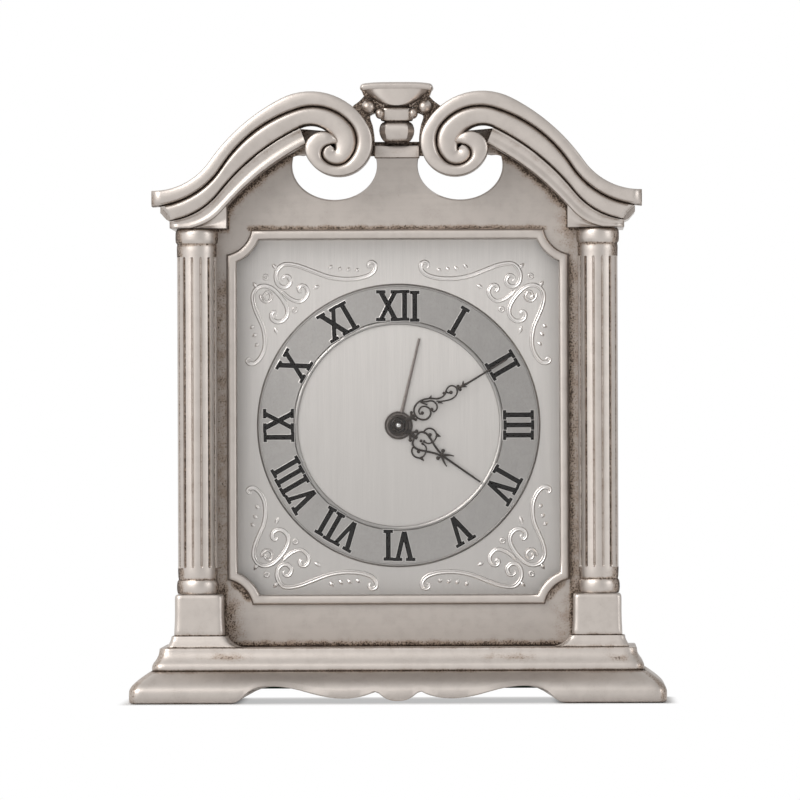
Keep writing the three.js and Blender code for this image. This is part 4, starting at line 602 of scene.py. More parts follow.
def makeColumn():
    # Radius is the turned profile less the flutes: round hollows that end in half circles.
    low, high, flutes = column["low"], column["high"], column["flutes"]
    radius, height, dirt = np.array(columnProfile).T
    z = np.unique(np.concatenate([height, np.linspace(30.2, 33.0, 20), np.linspace(97.6, 100.6, 20),
                                  np.linspace(33, 97.6, 30)]))[:, None]
    angle = np.linspace(0, 2 * math.pi, flutes * 20, endpoint=False)[None, :]
    phase = np.abs((angle * flutes / (2 * math.pi)) % 1.0 - 0.5)
    # Polishing has worn the flutes narrower and shallower at the front.
    side, ahead = np.abs(np.cos(angle)), np.sin(angle)
    worn = eased(side, *columnWear["worn"])
    gap = np.abs(phase - 0.5) / (column["gap"] * worn)
    pitch = 2 * math.pi * column["shaft"] / flutes
    end = np.clip(1 - np.minimum(z - low, high - z) / (column["gap"] * pitch), 0, 1)
    plain = (z < low) | (z > high)
    hollow = np.where((z > low) & (z < high), np.sqrt(np.clip(1 - gap ** 2 - end ** 2, 0, 1)), 0.0)
    around = np.interp(z, height, radius) - column["depth"] * worn * hollow
    x, y = around * np.cos(angle), np.minimum(column["y"] + around * ahead, panelFront - hair)
    # Tarnish fills the flutes, most at the sides, and lies on the plain rings away from the front.
    fluted = (0.18 + 1.5 * side ** 1.6) * eased(ahead, *columnWear["flutes"])
    settled = np.interp(z, height, dirt) + fluted * hollow ** 1.5
    rings = np.maximum(eased(ahead, *columnWear["rings"]), eased(np.cos(angle), *columnWear["outer"]))
    behind = np.where(plain, rings, eased(ahead, *columnWear["ridges"]))
    points = stacked(x + column["x"], y, z)
    return Shell().tube(points, np.maximum(settled, behind), 0.7, 0.7)


def buildPair(right, name, sharp=40.0):
    # The piece as it is made, at the right, and its mirror image at the left.
    for side, shell in (("right", right), ("left", right.mirrored())):
        shell.build(side + name.capitalize(), "case", caseSilver, "case_silver", [f"{side}_{name}"], sharp)


buildPair(makePedestal(), "pedestal")
buildPair(makeColumn(), "column")
print("base, pedestals and columns made")


scroll = {"count": 16, "back": panelFront - hair, "cornice": 106.9, "spandrel": (38.5, 111.8),
          "fillet": 46.2, "tip": (55.25, 115.3), "tipLow": 111.75, "heading": 181.7}
# Radius and turn of the arcs along each edge of the mouldings, from the tip to the volute.
outerArcs = [[15.4, -56.7], [44.7, 27.7], [14.7, 90.3], [7.6, 90], [7.9, 90], [3.9, 190]]
middleArcs = [[19.65, -51], [31.1, 40.9], [11.2, 63.6], [6.2, 90], [3.8, 90], [2.1, 125]]
lowerArcs = [[17, -44.1], [51.6, 26.2], [5.6, 114.6]]
outerChain = arcChain(*scroll["tip"], scroll["heading"], outerArcs, scroll["count"])
middleChain = arcChain(53.75, 111.9, 173.8, middleArcs, scroll["count"])
lowerChain = arcChain(51.25, 108.6, 172.4, lowerArcs, scroll["count"])


def ruled(first, second, across):
    # Straight lines from each point of one edge to the same point of another.
    return first[:, None, :] * (1 - across)[None, :, None] + second[:, None, :] * across[None, :, None]


def endFade(rows, start, stop, lengths):
    # One along most of a band and a quarter circle down at its ends.
    along = np.concatenate([[0], np.cumsum(lengths)])
    fade = np.ones(rows)
    for reach, distance in ((start, along), (stop, along[-1] - along)):
        if reach:
            share = np.clip(1 - distance / reach, 0, 1)
            fade = np.minimum(fade, np.sqrt(1 - share ** 2 * 0.999))
    return fade[:, None]


def band(shell, first, second, profile, start=0.0, stop=0.0, drop=1.6, hollow=0.0):
    # A strip ruled between two edges. The profile gives across it how far the front stands before
    # the panel and how much tarnish lies there.
    across = np.concatenate([[0, 0.012, 0.03, 0.06], np.linspace(0.1, 0.9, 13), [0.94, 0.97, 0.988, 1]])
    places, levels, dirt = np.array(profile).T
    points = ruled(first, second, across)
    # The first end can be cut to a hollow curve.
    run = np.clip(1 - np.arange(len(first)) / 6.0, 0, 1)
    points[..., 0] -= hollow * (4 * across * (1 - across))[None, :] * run[:, None]
    middle = points[:, len(across) // 2]
    fade = endFade(len(first), start, stop, np.linalg.norm(np.diff(middle, axis=0), axis=1))
    height = smoothed(across, places, levels)[None, :] - drop * (1 - fade)
    tarnish = np.maximum(eased(across, places, dirt)[None, :], 0.5 * (1 - fade))
    shell.slab(points, panelFront - height, scroll["back"], tarnish)


def arcBetween(start, stop, radius, count):
    # A clockwise arc of the given radius from one point to another.
    chord = stop - start
    half = math.asin(np.linalg.norm(chord) / 2 / radius)
    heading = math.degrees(math.atan2(chord[1], chord[0]) + half)
    return arcChain(*start, heading, [[radius, -math.degrees(2 * half)]], count)[0]


def makeScroll():
    # Three bands ruled between the chains of arcs: the outer moulding, the inner one and the lowest.
    shell, count, cornice = Shell(), scroll["count"], scroll["cornice"]
    outer, middle = np.concatenate(outerChain), np.concatenate(middleChain)
    first = spread(np.concatenate([[(scroll["tip"][0], scroll["tipLow"])], middleChain[0]]), count)
    band(shell, outer, np.concatenate([first, *middleChain[1:]]),
         [(0, 13.35, 0.25), (0.05, 13.65, 0), (0.2, 13.85, 0), (0.5, 13.95, 0), (0.78, 13.85, 0),
          (0.9, 13.5, 0.05), (0.96, 12.8, 0.4), (1, 12, 1)], 0.9, 2.2)
    rest = np.concatenate(lowerChain[:2])
    curl = spread(lowerChain[2], 2 * count)
    core = np.repeat(curl[-1:], 2 * count, axis=0)
    band(shell, middle, np.concatenate([rest, curl, core]),
         [(0, 11.9, 0.8), (0.06, 12.5, 0), (0.2, 12.9, 0), (0.45, 12.95, 0), (0.75, 12.75, 0),
          (0.94, 12.3, 0.1), (1, 11.2, 1)], 1.0, 0.0, hollow=0.55)
    # The lowest moulding runs from the cornice under the volute, to where its last arc begins.
    heading = scroll["heading"] + sum(turn for _, turn in outerArcs[:-1])
    meeting = arcChain(*outerChain[-2][-1], heading, [[outerArcs[-1][0], 45]], 8)[0][-1]
    corner = np.array(scroll["spandrel"])
    under = arcBetween(meeting, corner, panelScrollRadius, 30)[::-1]
    low = np.array([lowerChain[0][0][0], cornice])
    ridge = curved([(scroll["fillet"], cornice), (43.2, 107.9), (40.6, 109.6), corner], 16)
    edge = np.concatenate([[low], ridge, under[1:]])
    band(shell, rest, spread(edge, len(rest)),
         [(0, 10.9, 0.9), (0.05, 11.65, 0), (0.14, 11.75, 0), (0.24, 11.3, 0.2), (0.5, 11, 0),
          (0.8, 11.2, 0), (0.95, 11.05, 0.1), (1, 10.6, 0.6)], 0.8, 0.0)
    # A hollow fillet fills the corner between it and the cornice.
    foot = ridge * (1, 0) + (0, cornice)
    across = np.linspace(0, 1, 6)
    hollow = panelFront - 10.45 + 0.6 * np.sin(math.pi * across) ** 1.2
    dirt = eased(across, [0, 0.2, 1], [0.2, 0.0, 0.05])
    return shell.slab(ruled(ridge, foot, across), hollow, scroll["back"], dirt)


buildPair(makeScroll(), "scroll", sharp=55)
print("scrolls made")


# The hollow corners are arcs about a point that lies "beyond" outside the corner both ways.
opening = {"half": 36.5, "bottom": 24.0, "top": 104.45, "notch": 5.05, "beyond": 3.42}


def openingLine(grow, perEdge=24, perArc=14):
    # The dial opening's outline grown by the given amount: straight sides and hollow round corners.
    half, low, high, beyond = (opening[key] for key in ("half", "bottom", "top", "beyond"))
    radius = math.hypot(opening["notch"] + beyond, beyond) - grow
    tilt = math.asin((beyond - grow) / radius)
    reach = radius * math.cos(tilt) - beyond
    share = np.linspace(0, 1, perEdge)[:, None]
    arc = np.linspace(tilt, math.pi / 2 - tilt, perArc)
    inner, lowZ, highZ, wide = half - reach, low + reach, high - reach, half + grow
    sides = [((-inner, low - grow), (inner, low - grow), half + beyond, low - beyond),
             ((wide, lowZ), (wide, highZ), half + beyond, high + beyond),
             ((inner, high + grow), (-inner, high + grow), -half - beyond, high + beyond),
             ((-wide, highZ), (-wide, lowZ), -half - beyond, low - beyond)]
    line = []
    for k, (start, stop, x, z) in enumerate(sides):
        turn = math.pi * (1 + k / 2) - arc
        edge = np.array(start) * (1 - share) + np.array(stop) * share
        line += [edge, radius * circle(turn) + (x, z)]
    return np.concatenate(line)


def flatSheet(name, outline, holes, front, back, bevel):
    # A flat outline with holes, given a thickness and a fine bevelled edge, made a mesh in place.
    curve = bpy.data.curves.new(name, "CURVE")
    curve.dimensions, curve.fill_mode = "2D", "BOTH"
    curve.extrude = ((back - front) / 2 - bevel) * mm
    curve.bevel_depth, curve.bevel_resolution, curve.offset = bevel * mm, 1, -bevel * mm
    for line in [outline, *holes]:
        spline = curve.splines.new("POLY")
        spline.points.add(len(line) - 1)
        spline.points.foreach_set("co", stacked(line[:, 0] * mm, line[:, 1] * mm, 0, 1).ravel())
        spline.use_cyclic_u = True
    made = bpy.data.objects.new(name, curve)
    bpy.context.scene.collection.objects.link(made)
    bpy.context.view_layer.update()
    mesh = bpy.data.meshes.new_from_object(made.evaluated_get(bpy.context.evaluated_depsgraph_get()))
    bpy.data.objects.remove(made)
    points = np.zeros(len(mesh.vertices) * 3)
    mesh.vertices.foreach_get("co", points)
    points = points.reshape(-1, 3) / mm
    faces = [list(face.vertices) for face in mesh.polygons]
    bpy.data.meshes.remove(mesh)
    return stacked(points[:, 0], (front + back) / 2 - points[:, 2], points[:, 1]), faces


# The crescent opening's ellipse and the volute's round, each a middle and a radius both ways, and
# the neck between the crescents.
crescent = {"middle": (14.2, 121.2), "radius": (9.6, 7.8)}
volute = {"middle": (13.2, 124.8), "radius": (6.2, 6.2)}
neck = {"low": 114.2, "high": 122.65, "inset": 0.12, "proud": 3.4, "top": (4.2, 122.75)}
panelEdge = [(47.0, 12.4), (47.0, scroll["cornice"]), (51.2, scroll["cornice"])]


def roundLine(shape, start, stop, count):
    # Part of an ellipse's outline, from one angle to another.
    return shape["middle"] + circle(np.linspace(start, stop, count)) * shape["radius"]


def crescentLine():
    # Most of an ellipse with a rounded outer end, then back along the round of the volute.
    line = roundLine(crescent, math.radians(168), math.radians(372), 60)
    end = curved([line[-1], (23.5, 123.2), (22.4, 123.5), (21.3, 123.4)], 10)[1:]
    across, up = end[-1] - volute["middle"]
    return np.concatenate([line, end, roundLine(volute, math.atan2(up, across), -math.radians(215), 40)])


def makePanel():
    # The outline runs up the side, over the round behind the volute, back along the crescent and
    # up to the neck.
    right = np.concatenate([panelEdge, lowerChain[0], lowerChain[1][1:], crescentLine()[::-1],
                            [neck["top"]]])
    line = np.concatenate([right, (right * (-1, 1))[::-1]])
    points, faces = flatSheet("frontFrame", line, [openingLine(0.4)], panelFront, panelBack, bevel=0.35)
    shell = Shell().put(points, 0.0, faces)
    # The neck swells forward to carry the bar.
    z = np.linspace(neck["low"], neck["high"], 16)[:, None]
    (x, middle), (wide, tall) = crescent["middle"], crescent["radius"]
    half = x - wide * np.sqrt(1 - ((z - middle) / tall) ** 2) - neck["inset"]
    swell = neck["proud"] * ((z - neck["low"]) / (neck["high"] - neck["low"])) ** 1.5 - 0.05
    shell.slab(stacked(half * np.linspace(-1, 1, 9), z), panelFront - swell, panelFront + 0.2)
    return shell.build("frontFrame", "case", panelSilver, "case_silver", ["front_frame"], sharp=12)


# How far out of the opening, how far before the panel, and tarnish.
mouldProfile = [(0, -3, 0.7), (0, -0.1, 0.3), (0, 0.6, 0.1), (0.08, 0.95, 0), (0.25, 1.18, 0),
                (0.6, 1.3, 0), (1.2, 1.32, 0), (1.8, 1.26, 0), (2.05, 1.1, 0), (2.18, 0.8, 0),
                (2.25, 0.3, 0.1), (2.25, -0.05, 0.3), (2.25, -0.3, 0.3)]


def makeMoulding():
    # The stepped bead carried round the opening's outline.
    rows = [np.insert(openingLine(out), 1, panelFront - proud, axis=1) for out, proud, _ in mouldProfile]
    shell = Shell().grid(np.stack(rows), np.array(mouldProfile)[:, 2:], closeColumns=True)
    return shell.build("openingBead", "case", caseSilver, "case_silver", sharp=35)


makePanel()
makeMoulding()
print("panel made")


urn = {"front": cornersOf("urn_finial")[0][1], "back": cornersOf("urn_finial")[1][1], "rim": 8.25,
       "thick": 0.74, "arch": 138.96, "bar": 5.08, "bead": 1.58, "beadPlace": (6.35, 134.15),
       "ear": (3.75, 132.65)}
urn["plate"] = urn["front"] + 3.6  # front of the plain plates behind the bowl and the bar
# How far out of the bar's outline, height and tarnish.
barLevels = [(-0.25, 122.7, 0.7), (0, 122.9, 0.15), (0, 125.25, 0), (-0.1, 125.44, 0),
             (-0.35, 125.5, 0.2)]
# Half width, height, tarnish and half width of the front flat of the faceted bulb and collar.
bulbRings = [(2.5, 126, 0.9, 1.6), (2.55, 126.3, 0.9, 1.6), (3.05, 126.6, 0.3, 2), (3.5, 127.2, 0, 2.3),
             (3.82, 128, 0, 2.5), (3.95, 128.8, 0, 2.6), (3.86, 129.6, 0, 2.5), (3.6, 130.25, 0, 2.4),
             (3.2, 130.65, 0.1, 2.2), (2.8, 130.8, 0.9, 2.1), (2.8, 131, 0.9, 2.3),
             (3.45, 131.1, 0.6, 2.6), (3.6, 131.3, 0, 2.7), (3.75, 132.3, 0, 2.7), (3.85, 133.3, 0, 2.7),
             (3.8, 133.75, 0.1, 2.7), (3.6, 134, 0.5, 2.6), (3.2, 134.2, 0.95, 2.3),
             (3.2, 134.8, 0.9, 2.3)]
# Half width and height of the bowl's rounded face, and of the plate behind it.
bowlFace = [(1.2, 134.5), (2.6, 134.66), (3.8, 135), (4.75, 135.6), (5.75, 136.3), (6.6, 137.2),
            (7.3, 138.3)]
bowlPlate = [(4.2, 134.2), (5.6, 135.2), (7.3, 136.6), (7.75, 137.5), (8.2, 138.6)]
# Outer and inner edge of the plate that ties the bowl and the bead to the volute.
tieOuter = [(7.3, 136.7), (8.4, 135.5), (10.2, 134), (9.4, 132.4), (8.2, 130.5), (7.4, 128), (7, 125.8)]
tieInner = [(4.6, 136.4), (4.1, 135), (3.6, 133.9), (4.6, 132.9), (6.05, 132.2), (5.46, 130),
            (5.09, 127.7), (5, 125.9)]


def facetRing(half, middle, face, count=6):
    # A level ring of eight flats: a broad one at the front, two cut corners and the sides.
    depth, cutBack = 0.93 * half, 0.93 * half - 0.9 * (half - face)
    quarter = np.array([(face, -depth), (half, -cutBack), (half, cutBack), (face, depth)])
    corner = np.concatenate([quarter, quarter[::-1] * (-1, 1)])
    share = np.linspace(0, 1, count, endpoint=False)[None, :, None]
    ring = corner[:, None, :] * (1 - share) + np.roll(corner, -1, axis=0)[:, None, :] * share
    return ring.reshape(-1, 2) + (0, middle)


def widthSheet(shell, outline, front, back, roll, power):
    # A sheet as wide at each height as the outline says. Its front falls back towards the edge
    # with the sixth power of the distance from the middle, and tarnish grows with another power.
    half, z = curved(outline, 20).T[:, :, None]
    across = np.sin(np.linspace(-math.pi / 2, math.pi / 2, 33))
    edge = np.abs(across)
    shell.slab(stacked(half * across, z), front + roll * edge ** 6, back, 0.6 * edge ** power)


def makeUrn():
    # Rings of eight flats one above another for the bulb, with raised sheets for the bowl, the rim
    # and the ties, balls for the beads and an outline grown level by level for the bar.
    front, plate, back, rim, thick = (urn[key] for key in ("front", "plate", "back", "rim", "thick"))
    rows = [atHeight(facetRing(half, back - 4.05, face), z) for half, z, _, face in bulbRings]
    shell = Shell().tube(rows, np.array(bulbRings)[:, 2:3], 0.8, 0.8)
    widthSheet(shell, bowlPlate, plate, back, roll=0.4, power=0)
    widthSheet(shell, bowlFace, front + 0.35, plate + 1.0, roll=2.4, power=14)
    # The rim is a rounded bar, a little arched.
    x, across = rim * np.sin(np.linspace(-math.pi / 2, math.pi / 2, 49))[:, None], np.linspace(-1, 1, 11)
    half = thick * np.sqrt(np.clip(1 - (np.clip(np.abs(x) - 7.5, 0, None) / 0.75) ** 2, 0.002, 1))
    points = stacked(x, urn["arch"] - 0.5 * (x / rim) ** 4 + half * across)
    above, below = np.clip(across, 0, 1), np.clip(-across, 0, 1)
    depth = front + 0.6 * above ** 3 + 0.33 * below ** 2 + 1.2 * (1 - half / thick)
    shell.slab(points, depth, back - 0.15, 0.4 * below ** 3 * (x / rim) ** 4)
    turn = np.linspace(0.02, math.pi - 0.02, 16)
    ball = lathe(urn["bead"] * stacked(np.sin(turn), -np.cos(turn)), 28)
    for side in (-1, 1):
        bead = ball + (side * urn["beadPlace"][0], plate - 0.9, urn["beadPlace"][1])
        ear = ball * (0.66, 0.7, 0.78) + (side * urn["ear"][0], front + 2.1, urn["ear"][1])
        shell.tube(bead, 0.27, 0.3, 0.3).tube(ear, 0.4, 0.3, 0.3)
        tie = ruled(curved(tieOuter, 18), curved(tieInner, 18), np.linspace(0, 1, 8)) * (side, 1)
        shell.slab(tie, plate + hair, back - 0.3, 0.75)
    ledge = stacked(np.linspace(-6.3, 6.3, 14)[:, None], np.linspace(123.2, 126.4, 5))
    shell.slab(ledge, plate + 4.0, back - 0.3, 0.75)
    place, grow = ringPath(urn["bar"], front + 5.6, back, 0.25, 4, 12)
    bar = [atHeight(place + grow * (out * 0.4, out), z) for out, z, _ in barLevels]
    shell.tube(bar, np.array(barLevels)[:, 2:], 0.6, 0.6)
    return shell.build("urnFinial", "case", caseSilver, "case_silver", ["urn_finial"], sharp=38)


makeUrn()
print("urn made")


dial = {"z": 62.3, "front": cornersOf("dial_plate")[0][1], "ringBack": cornersOf("chapter_ring")[1][1]}
# Radius, how far before the ring's back, and tarnish. The numerals lie on the slope.
ringProfile = [(22.9, 0, 0.9), (22.9, 0.45, 0.5), (23, 0.62, 0.1), (23.35, 0.74, 0), (23.7, 0.62, 0.1),
               (23.78, 0.55, 0.6), (23.85, 0.85, 0.1), (23.95, 0.95, 0), (31.5, 0.38, 0),
               (31.62, 0.52, 0), (31.82, 0.5, 0), (32.05, 0.3, 0), (32.2, 0.08, 0), (32.2, 0, 0.1)]


def makeRing():
    # The profile turned about the dial's centre.
    radius, proud, dirt = np.array(ringProfile).T
    profile = stacked(radius, dial["ringBack"] - proud)
    shell = Shell().turned(profile, 192, 0, dial["z"], dirt[:, None] * 0.6, True)
    return shell.build("chapterRing", "case", ringSilver, "dial_silver", ["chapter_ring"], sharp=20)


makeRing()


def handPlace(points, angle):
    # From distance along a hand and distance to its right into the dial's plane.
    points, turn = np.asarray(points, float), math.radians(angle)
    along, right = points[..., 0], points[..., 1]
    return stacked(along * math.sin(turn) + right * math.cos(turn),
                   dial["z"] + along * math.cos(turn) - right * math.sin(turn))


numeral = {"low": 23.75, "high": 30.85, "stem": 1.16, "thin": 1.02, "serif": 2.2, "bar": 0.82,
           "inset": 0.95, "bend": 27.3, "widths": {"I": 2.3, "V": 4.9, "X": 5.2}}
hours = ["XII", "I", "II", "III", "IV", "V", "VI", "VII", "VIII", "IX", "X", "XI"]


def numeralStrokes(text):
    # Strokes of a roman numeral, each from one place to another with a width. Letters share serifs,
    # and those beside the middle sit lower, as the ring does.
    stem, thin, serif, bar = (numeral[key] for key in ("stem", "thin", "serif", "bar"))
    left, strokes = -sum(numeral["widths"][letter] for letter in text) / 2, []
    for letter in text:
        right = left + numeral["widths"][letter]
        middle, near, far = (left + right) / 2, left + numeral["inset"], right - numeral["inset"]
        sag = numeral["bend"] - math.sqrt(numeral["bend"] ** 2 - middle ** 2)
        low, top = bar / 2 - sag, numeral["high"] - numeral["low"] - bar / 2 - sag
        lines = {"I": [((middle, low), (middle, top), stem)],
                 "V": [((near, top), (middle, low), stem), ((far, top), (middle, low), thin)],
                 "X": [((near, top), (far, low), stem), ((far, top), (near, low), thin)]}[letter]
        feet = {"I": [(middle, low), (middle, top)], "V": [(near, top), (far, top)],
                "X": [(near, top), (far, top), (near, low), (far, low)]}[letter]
        strokes += lines + [((x - serif / 2, z), (x + serif / 2, z), bar) for x, z in feet]
        left = right
    return strokes


def makeNumerals(name, finish, slot, wider, lower):
    # Each stroke is a straight strip laid on the ring's slope.
    shell, slope = Shell(), np.array(ringProfile)[7:9, :2].T
    share, across = np.linspace(0, 1, 7)[:, None], np.array([-1, -0.8, 0.8, 1])
    for hour, text in enumerate(hours):
        for start, stop, width in numeralStrokes(text):
            start, stop = np.array(start, float), np.array(stop, float)
            along = (stop - start) / np.linalg.norm(stop - start)
            side = np.array([-along[1], along[0]]) * (width / 2 + wider)
            spine = (start - along * wider) * (1 - share) + (stop + along * wider) * share
            flat = spine[:, None, :] + side * across[None, :, None]
            points = handPlace(flat[..., ::-1] + (numeral["low"], 0), 30 * hour)
            radius = np.hypot(numeral["low"] + flat[..., 1], flat[..., 0])
            ground = dial["ringBack"] - np.interp(radius, *slope) + lower
            shell.slab(points, ground - np.array([0.02, 0.05, 0.05, 0.02]), ground + 0.05)
    return shell.build(name, "case", finish, slot, weld=0.0002)


makeNumerals("numerals", numeralBlack, "hand_bronze", 0.0, 0.0)
# A paler outline just behind the numerals: a painted highlight along their edges.
makeNumerals("numeralEdges", engravedHighlightSilver, "dial_silver", 0.09, 0.025)


def rib(shell, line, front, width, height, taper, tarnish=0.35, channel=0.0):
    # A low ridge along a line in the dial's plane, its ends drawn in, with a shallow channel along
    # its middle if that is asked for.
    share, across = np.linspace(0, 1, len(line)), np.linspace(-1, 1, 11)
    swell = np.clip(np.minimum(share, 1 - share) / taper, 0.12, 1) ** 0.6
    shape = (1 - across ** 4) - channel * np.exp(-(across / 0.35) ** 2)
    raised = front - height * shape * swell[:, None]
    shell.slab(ribbon(line, swell * width / 2, across), raised, front + 0.03, tarnish * across ** 4)


# Corner ornament, as distances left of and above the dial's centre.
cornerScrolls = [
    ([(6, 35.8), (6.7, 35.9), (6.8, 36.7), (6, 37.1), (5.2, 36.5), (5.4, 35.2), (6.7, 34.1), (9.3, 33.4),
      (12.7, 33.3), (16.2, 33.9), (19.7, 35.2), (22.7, 36.3), (25.3, 36.7), (26.8, 36.1), (27.7, 34.5),
      (27.6, 32.8), (26.8, 31.7), (25.5, 31.5), (24.5, 32.5), (24.9, 33.8), (25.8, 34), (26.4, 33.4),
      (26, 32.8)], 1.05),
    ([(26.6, 30.8), (25.5, 29.6), (24, 28.6), (22.3, 28.2), (21, 29.1), (20.5, 30.4), (21.1, 31.6),
      (22.1, 31.8), (22.6, 31.2), (22.3, 30.5), (21.7, 30.7)], 0.95),
    ([(33.3, 14.9), (33.9, 15.4), (34.4, 14.8), (33.9, 14.2), (32.7, 14.2), (31.4, 15.4), (30.5, 17.4),
      (30.3, 19.6), (30.7, 22.2), (31.6, 24.4), (32.5, 26.5), (33, 28.5), (32.9, 30), (32, 31.3),
      (30.5, 31.8), (28.8, 31.3), (27.3, 30), (26, 28.3), (25.2, 26.5), (25.3, 25), (26.2, 23.9),
      (27.5, 23.6), (28.6, 24.2), (28.8, 25.3), (28.2, 25.9), (27.6, 25.4), (27.8, 24.8)], 1.05),
    ([(31.4, 29.9), (31, 28.8), (30.2, 28.2), (29.2, 28.5), (28.8, 29.4), (29.3, 30.3), (30.1, 30.2),
      (30.4, 29.5), (29.9, 29.1)], 0.8)]
cornerTicks = [((28.5, 36.6), (27.6, 35.7)), ((32.9, 32.6), (32.2, 31.5)), ((19.1, 31.2), (18, 31.8)),
               ((28, 22.3), (27.5, 20.9)), ((15.7, 35.6), (15, 36.4)), ((13.5, 35.2), (12.9, 36)),
               ((11.6, 35.1), (11, 35.8)), ((9.6, 35), (9, 35.6)), ((33.6, 22.2), (32.9, 22.7)),
               ((33, 20.3), (32.3, 20.9)), ((32.5, 18.1), (31.8, 18.7))]
cornerRounds = [(30.1, 33.8), (23.5, 26.3)]
scrollRib = {"height": 0.24, "taper": 0.06, "channel": 0.55}
tickRib = {"width": 0.95, "height": 0.28, "taper": 0.5, "tarnish": 0.15}
roundRib = {"width": 0.5, "height": 0.22, "taper": 0.02}


def makeOrnament():
    # Ribs along the curves, the ticks and the small rounds, flipped to each of the four corners.
    shell, front, middle = Shell(), dial["front"], (0, dial["z"])
    ring = 0.5 * circle(np.linspace(0, 2 * math.pi, 25))
    for flip in ((-1, 1), (-1, -1), (1, 1), (1, -1)):
        for points, width in cornerScrolls:
            line = curved(points, 12 * len(points)) * flip + middle
            rib(shell, line, front, width, **scrollRib)
        for start, stop in cornerTicks:
            reach = 0.12 * (np.array(stop) - start)
            rib(shell, np.linspace(start - reach, stop + reach, 8) * flip + middle, front, **tickRib)
        for place in cornerRounds:
            rib(shell, (place + ring) * flip + middle, front, **roundRib)
    return shell.build("dialScrolls", "case", engravedHighlightSilver, "dial_silver", weld=0.0002)


makeOrnament()
print("dial made")


hands = {"minute": 58.8, "hour": 124.9, "alarm": 13.6, "weight": 1.3, "dome": 0.12}


class Hand:
    # A flat hand with rounded fronts, drawn as distances along it and to its right.
    def __init__(self, node, angle):
        low, high = cornersOf(node)
        self.node, self.angle, self.front, self.back, self.shell = node, angle, low[1], high[1], Shell()

    def stroke(self, points, startWidth, stopWidth, count=0, side=1):
        # Straight from point to point, or a curve through them if a count is given.
        line = (curved(points, count) if count else np.array(points)) * (1, side)
        width = hands["weight"] * np.linspace(startWidth, stopWidth, len(line))
        across = np.linspace(-0.5, 0.5, 5)
        flat = handPlace(ribbon(line, width, across), self.angle)
        self.shell.slab(flat, self.front + hands["dome"] * (2 * across) ** 2, self.back)
        return self

    def dots(self, *places):
        # Low domes: circles that shrink towards the front.
        ring, dome = circle(np.linspace(0, 2 * math.pi, 17)[:-1]), hands["dome"]
        levels = [(1, self.back), (1, self.front + dome), (0.75, self.front + dome * 0.3), (0.3, self.front)]
        for *place, radius in places:
            rows = []
            for share, depth in levels:
                outline = handPlace(radius * share * ring + place, self.angle)
                rows.append(np.insert(outline, 1, depth, axis=1))
            self.shell.tube(rows)
        return self

    def hub(self, profile):
        # Turned rings about the centre; each is a radius and a depth behind the hand's front.
        radius, depth = np.array([(profile[0][0], self.back - self.front), *profile,
                                  (profile[-1][0], self.back - self.front)]).T
        self.shell.turned(stacked(radius, self.front + depth), 72, 0, dial["z"], closeRows=True)
        return self

    def build(self, name, body, finish, slot):
        return self.shell.build(name, body, finish, slot, [self.node], sharp=35, weld=0.0002)


minuteHand = Hand("minute_hand", hands["minute"])
minuteHand.hub([(1.36, 0.1), (1.5, 0.02), (1.7, 0.12), (1.85, 0.02), (2.1, 0), (2.35, 0.1), (2.4, 0.2)])
minuteHand.stroke([(2.2, 0), (3.4, 0), (4.6, 0)], 0.9, 0.6, 8).dots((4, -0.95, 0.36), (4, 0.9, 0.36))
minuteHand.stroke([(3.5, -0.3), (4, -0.85)], 0.4, 0.4).stroke([(3.5, 0.3), (4, 0.8)], 0.4, 0.4)
minuteHand.stroke([(7.76, 1.42), (7.09, 1.95), (6.2, 2.1), (5.4, 1.8), (4.6, 0.85), (4.5, -0.35),
                   (4.9, -1.25), (5.6, -1.85), (6.85, -2.15), (8.23, -1.94), (9.52, -1.37), (10.66, -0.6),
                   (11.77, -0.35), (12.81, -0.6), (13.44, -1.18), (14.29, -1.55), (15.08, -1.35),
                   (15.6, -0.6), (15.45, 0.29), (14.61, 1), (13.39, 1.15), (12.1, 0.8), (10.9, 0.3),
                   (10.2, -0.2)], 0.34, 0.26, 160)
minuteHand.stroke([(7.76, 1.42), (8, 0.5), (7.45, -0.5), (6.5, -0.85), (5.65, -0.4), (5.5, 0.3),
                   (5.95, 0.5)], 0.32, 0.26, 48)
minuteHand.stroke([(7.16, -1.95), (8.2, -1.3), (9.17, -0.95), (9.75, -0.2), (9.75, 0.87), (9.05, 1.5),
                   (8.35, 1.45), (8.3, 0.95)], 0.32, 0.26, 56)
minuteHand.stroke([(7, -1.95), (7.6, -1.1), (8.1, -0.6)], 0.3, 0.22, 12)
minuteHand.stroke([(13.3, -1.1), (13.35, -0.55), (13.95, -0.2)], 0.3, 0.26, 16)
minuteHand.dots((6.05, 0.4, 0.4), (8.36, 0.85, 0.38), (14.05, -0.2, 0.42), (12.6, -0.87, 0.34),
                (16.15, -0.55, 0.36), (16.2, 0.35, 0.36), (15.9, 0, 0.34))
for spur in ([(9.3, -1.5), (9.9, -1.95)], [(10.4, 0.1), (11.25, 1)], [(17.2, -0.2), (17.85, -0.95)],
             [(17.2, 0), (17.8, 0.65)]):
    minuteHand.stroke(spur, 0.5, 0.1)
minuteHand.stroke([(15.5, -0.1), (17.2, -0.08), (18.2, 0)], 0.5, 0.42, 8).dots((17.2, -0.08, 0.42))
minuteHand.stroke([(18, 0), (24, 0), (29, 0)], 0.36, 0.26)
minuteHand.build("minuteHand", "minute_work", handBronze, "hand_bronze")

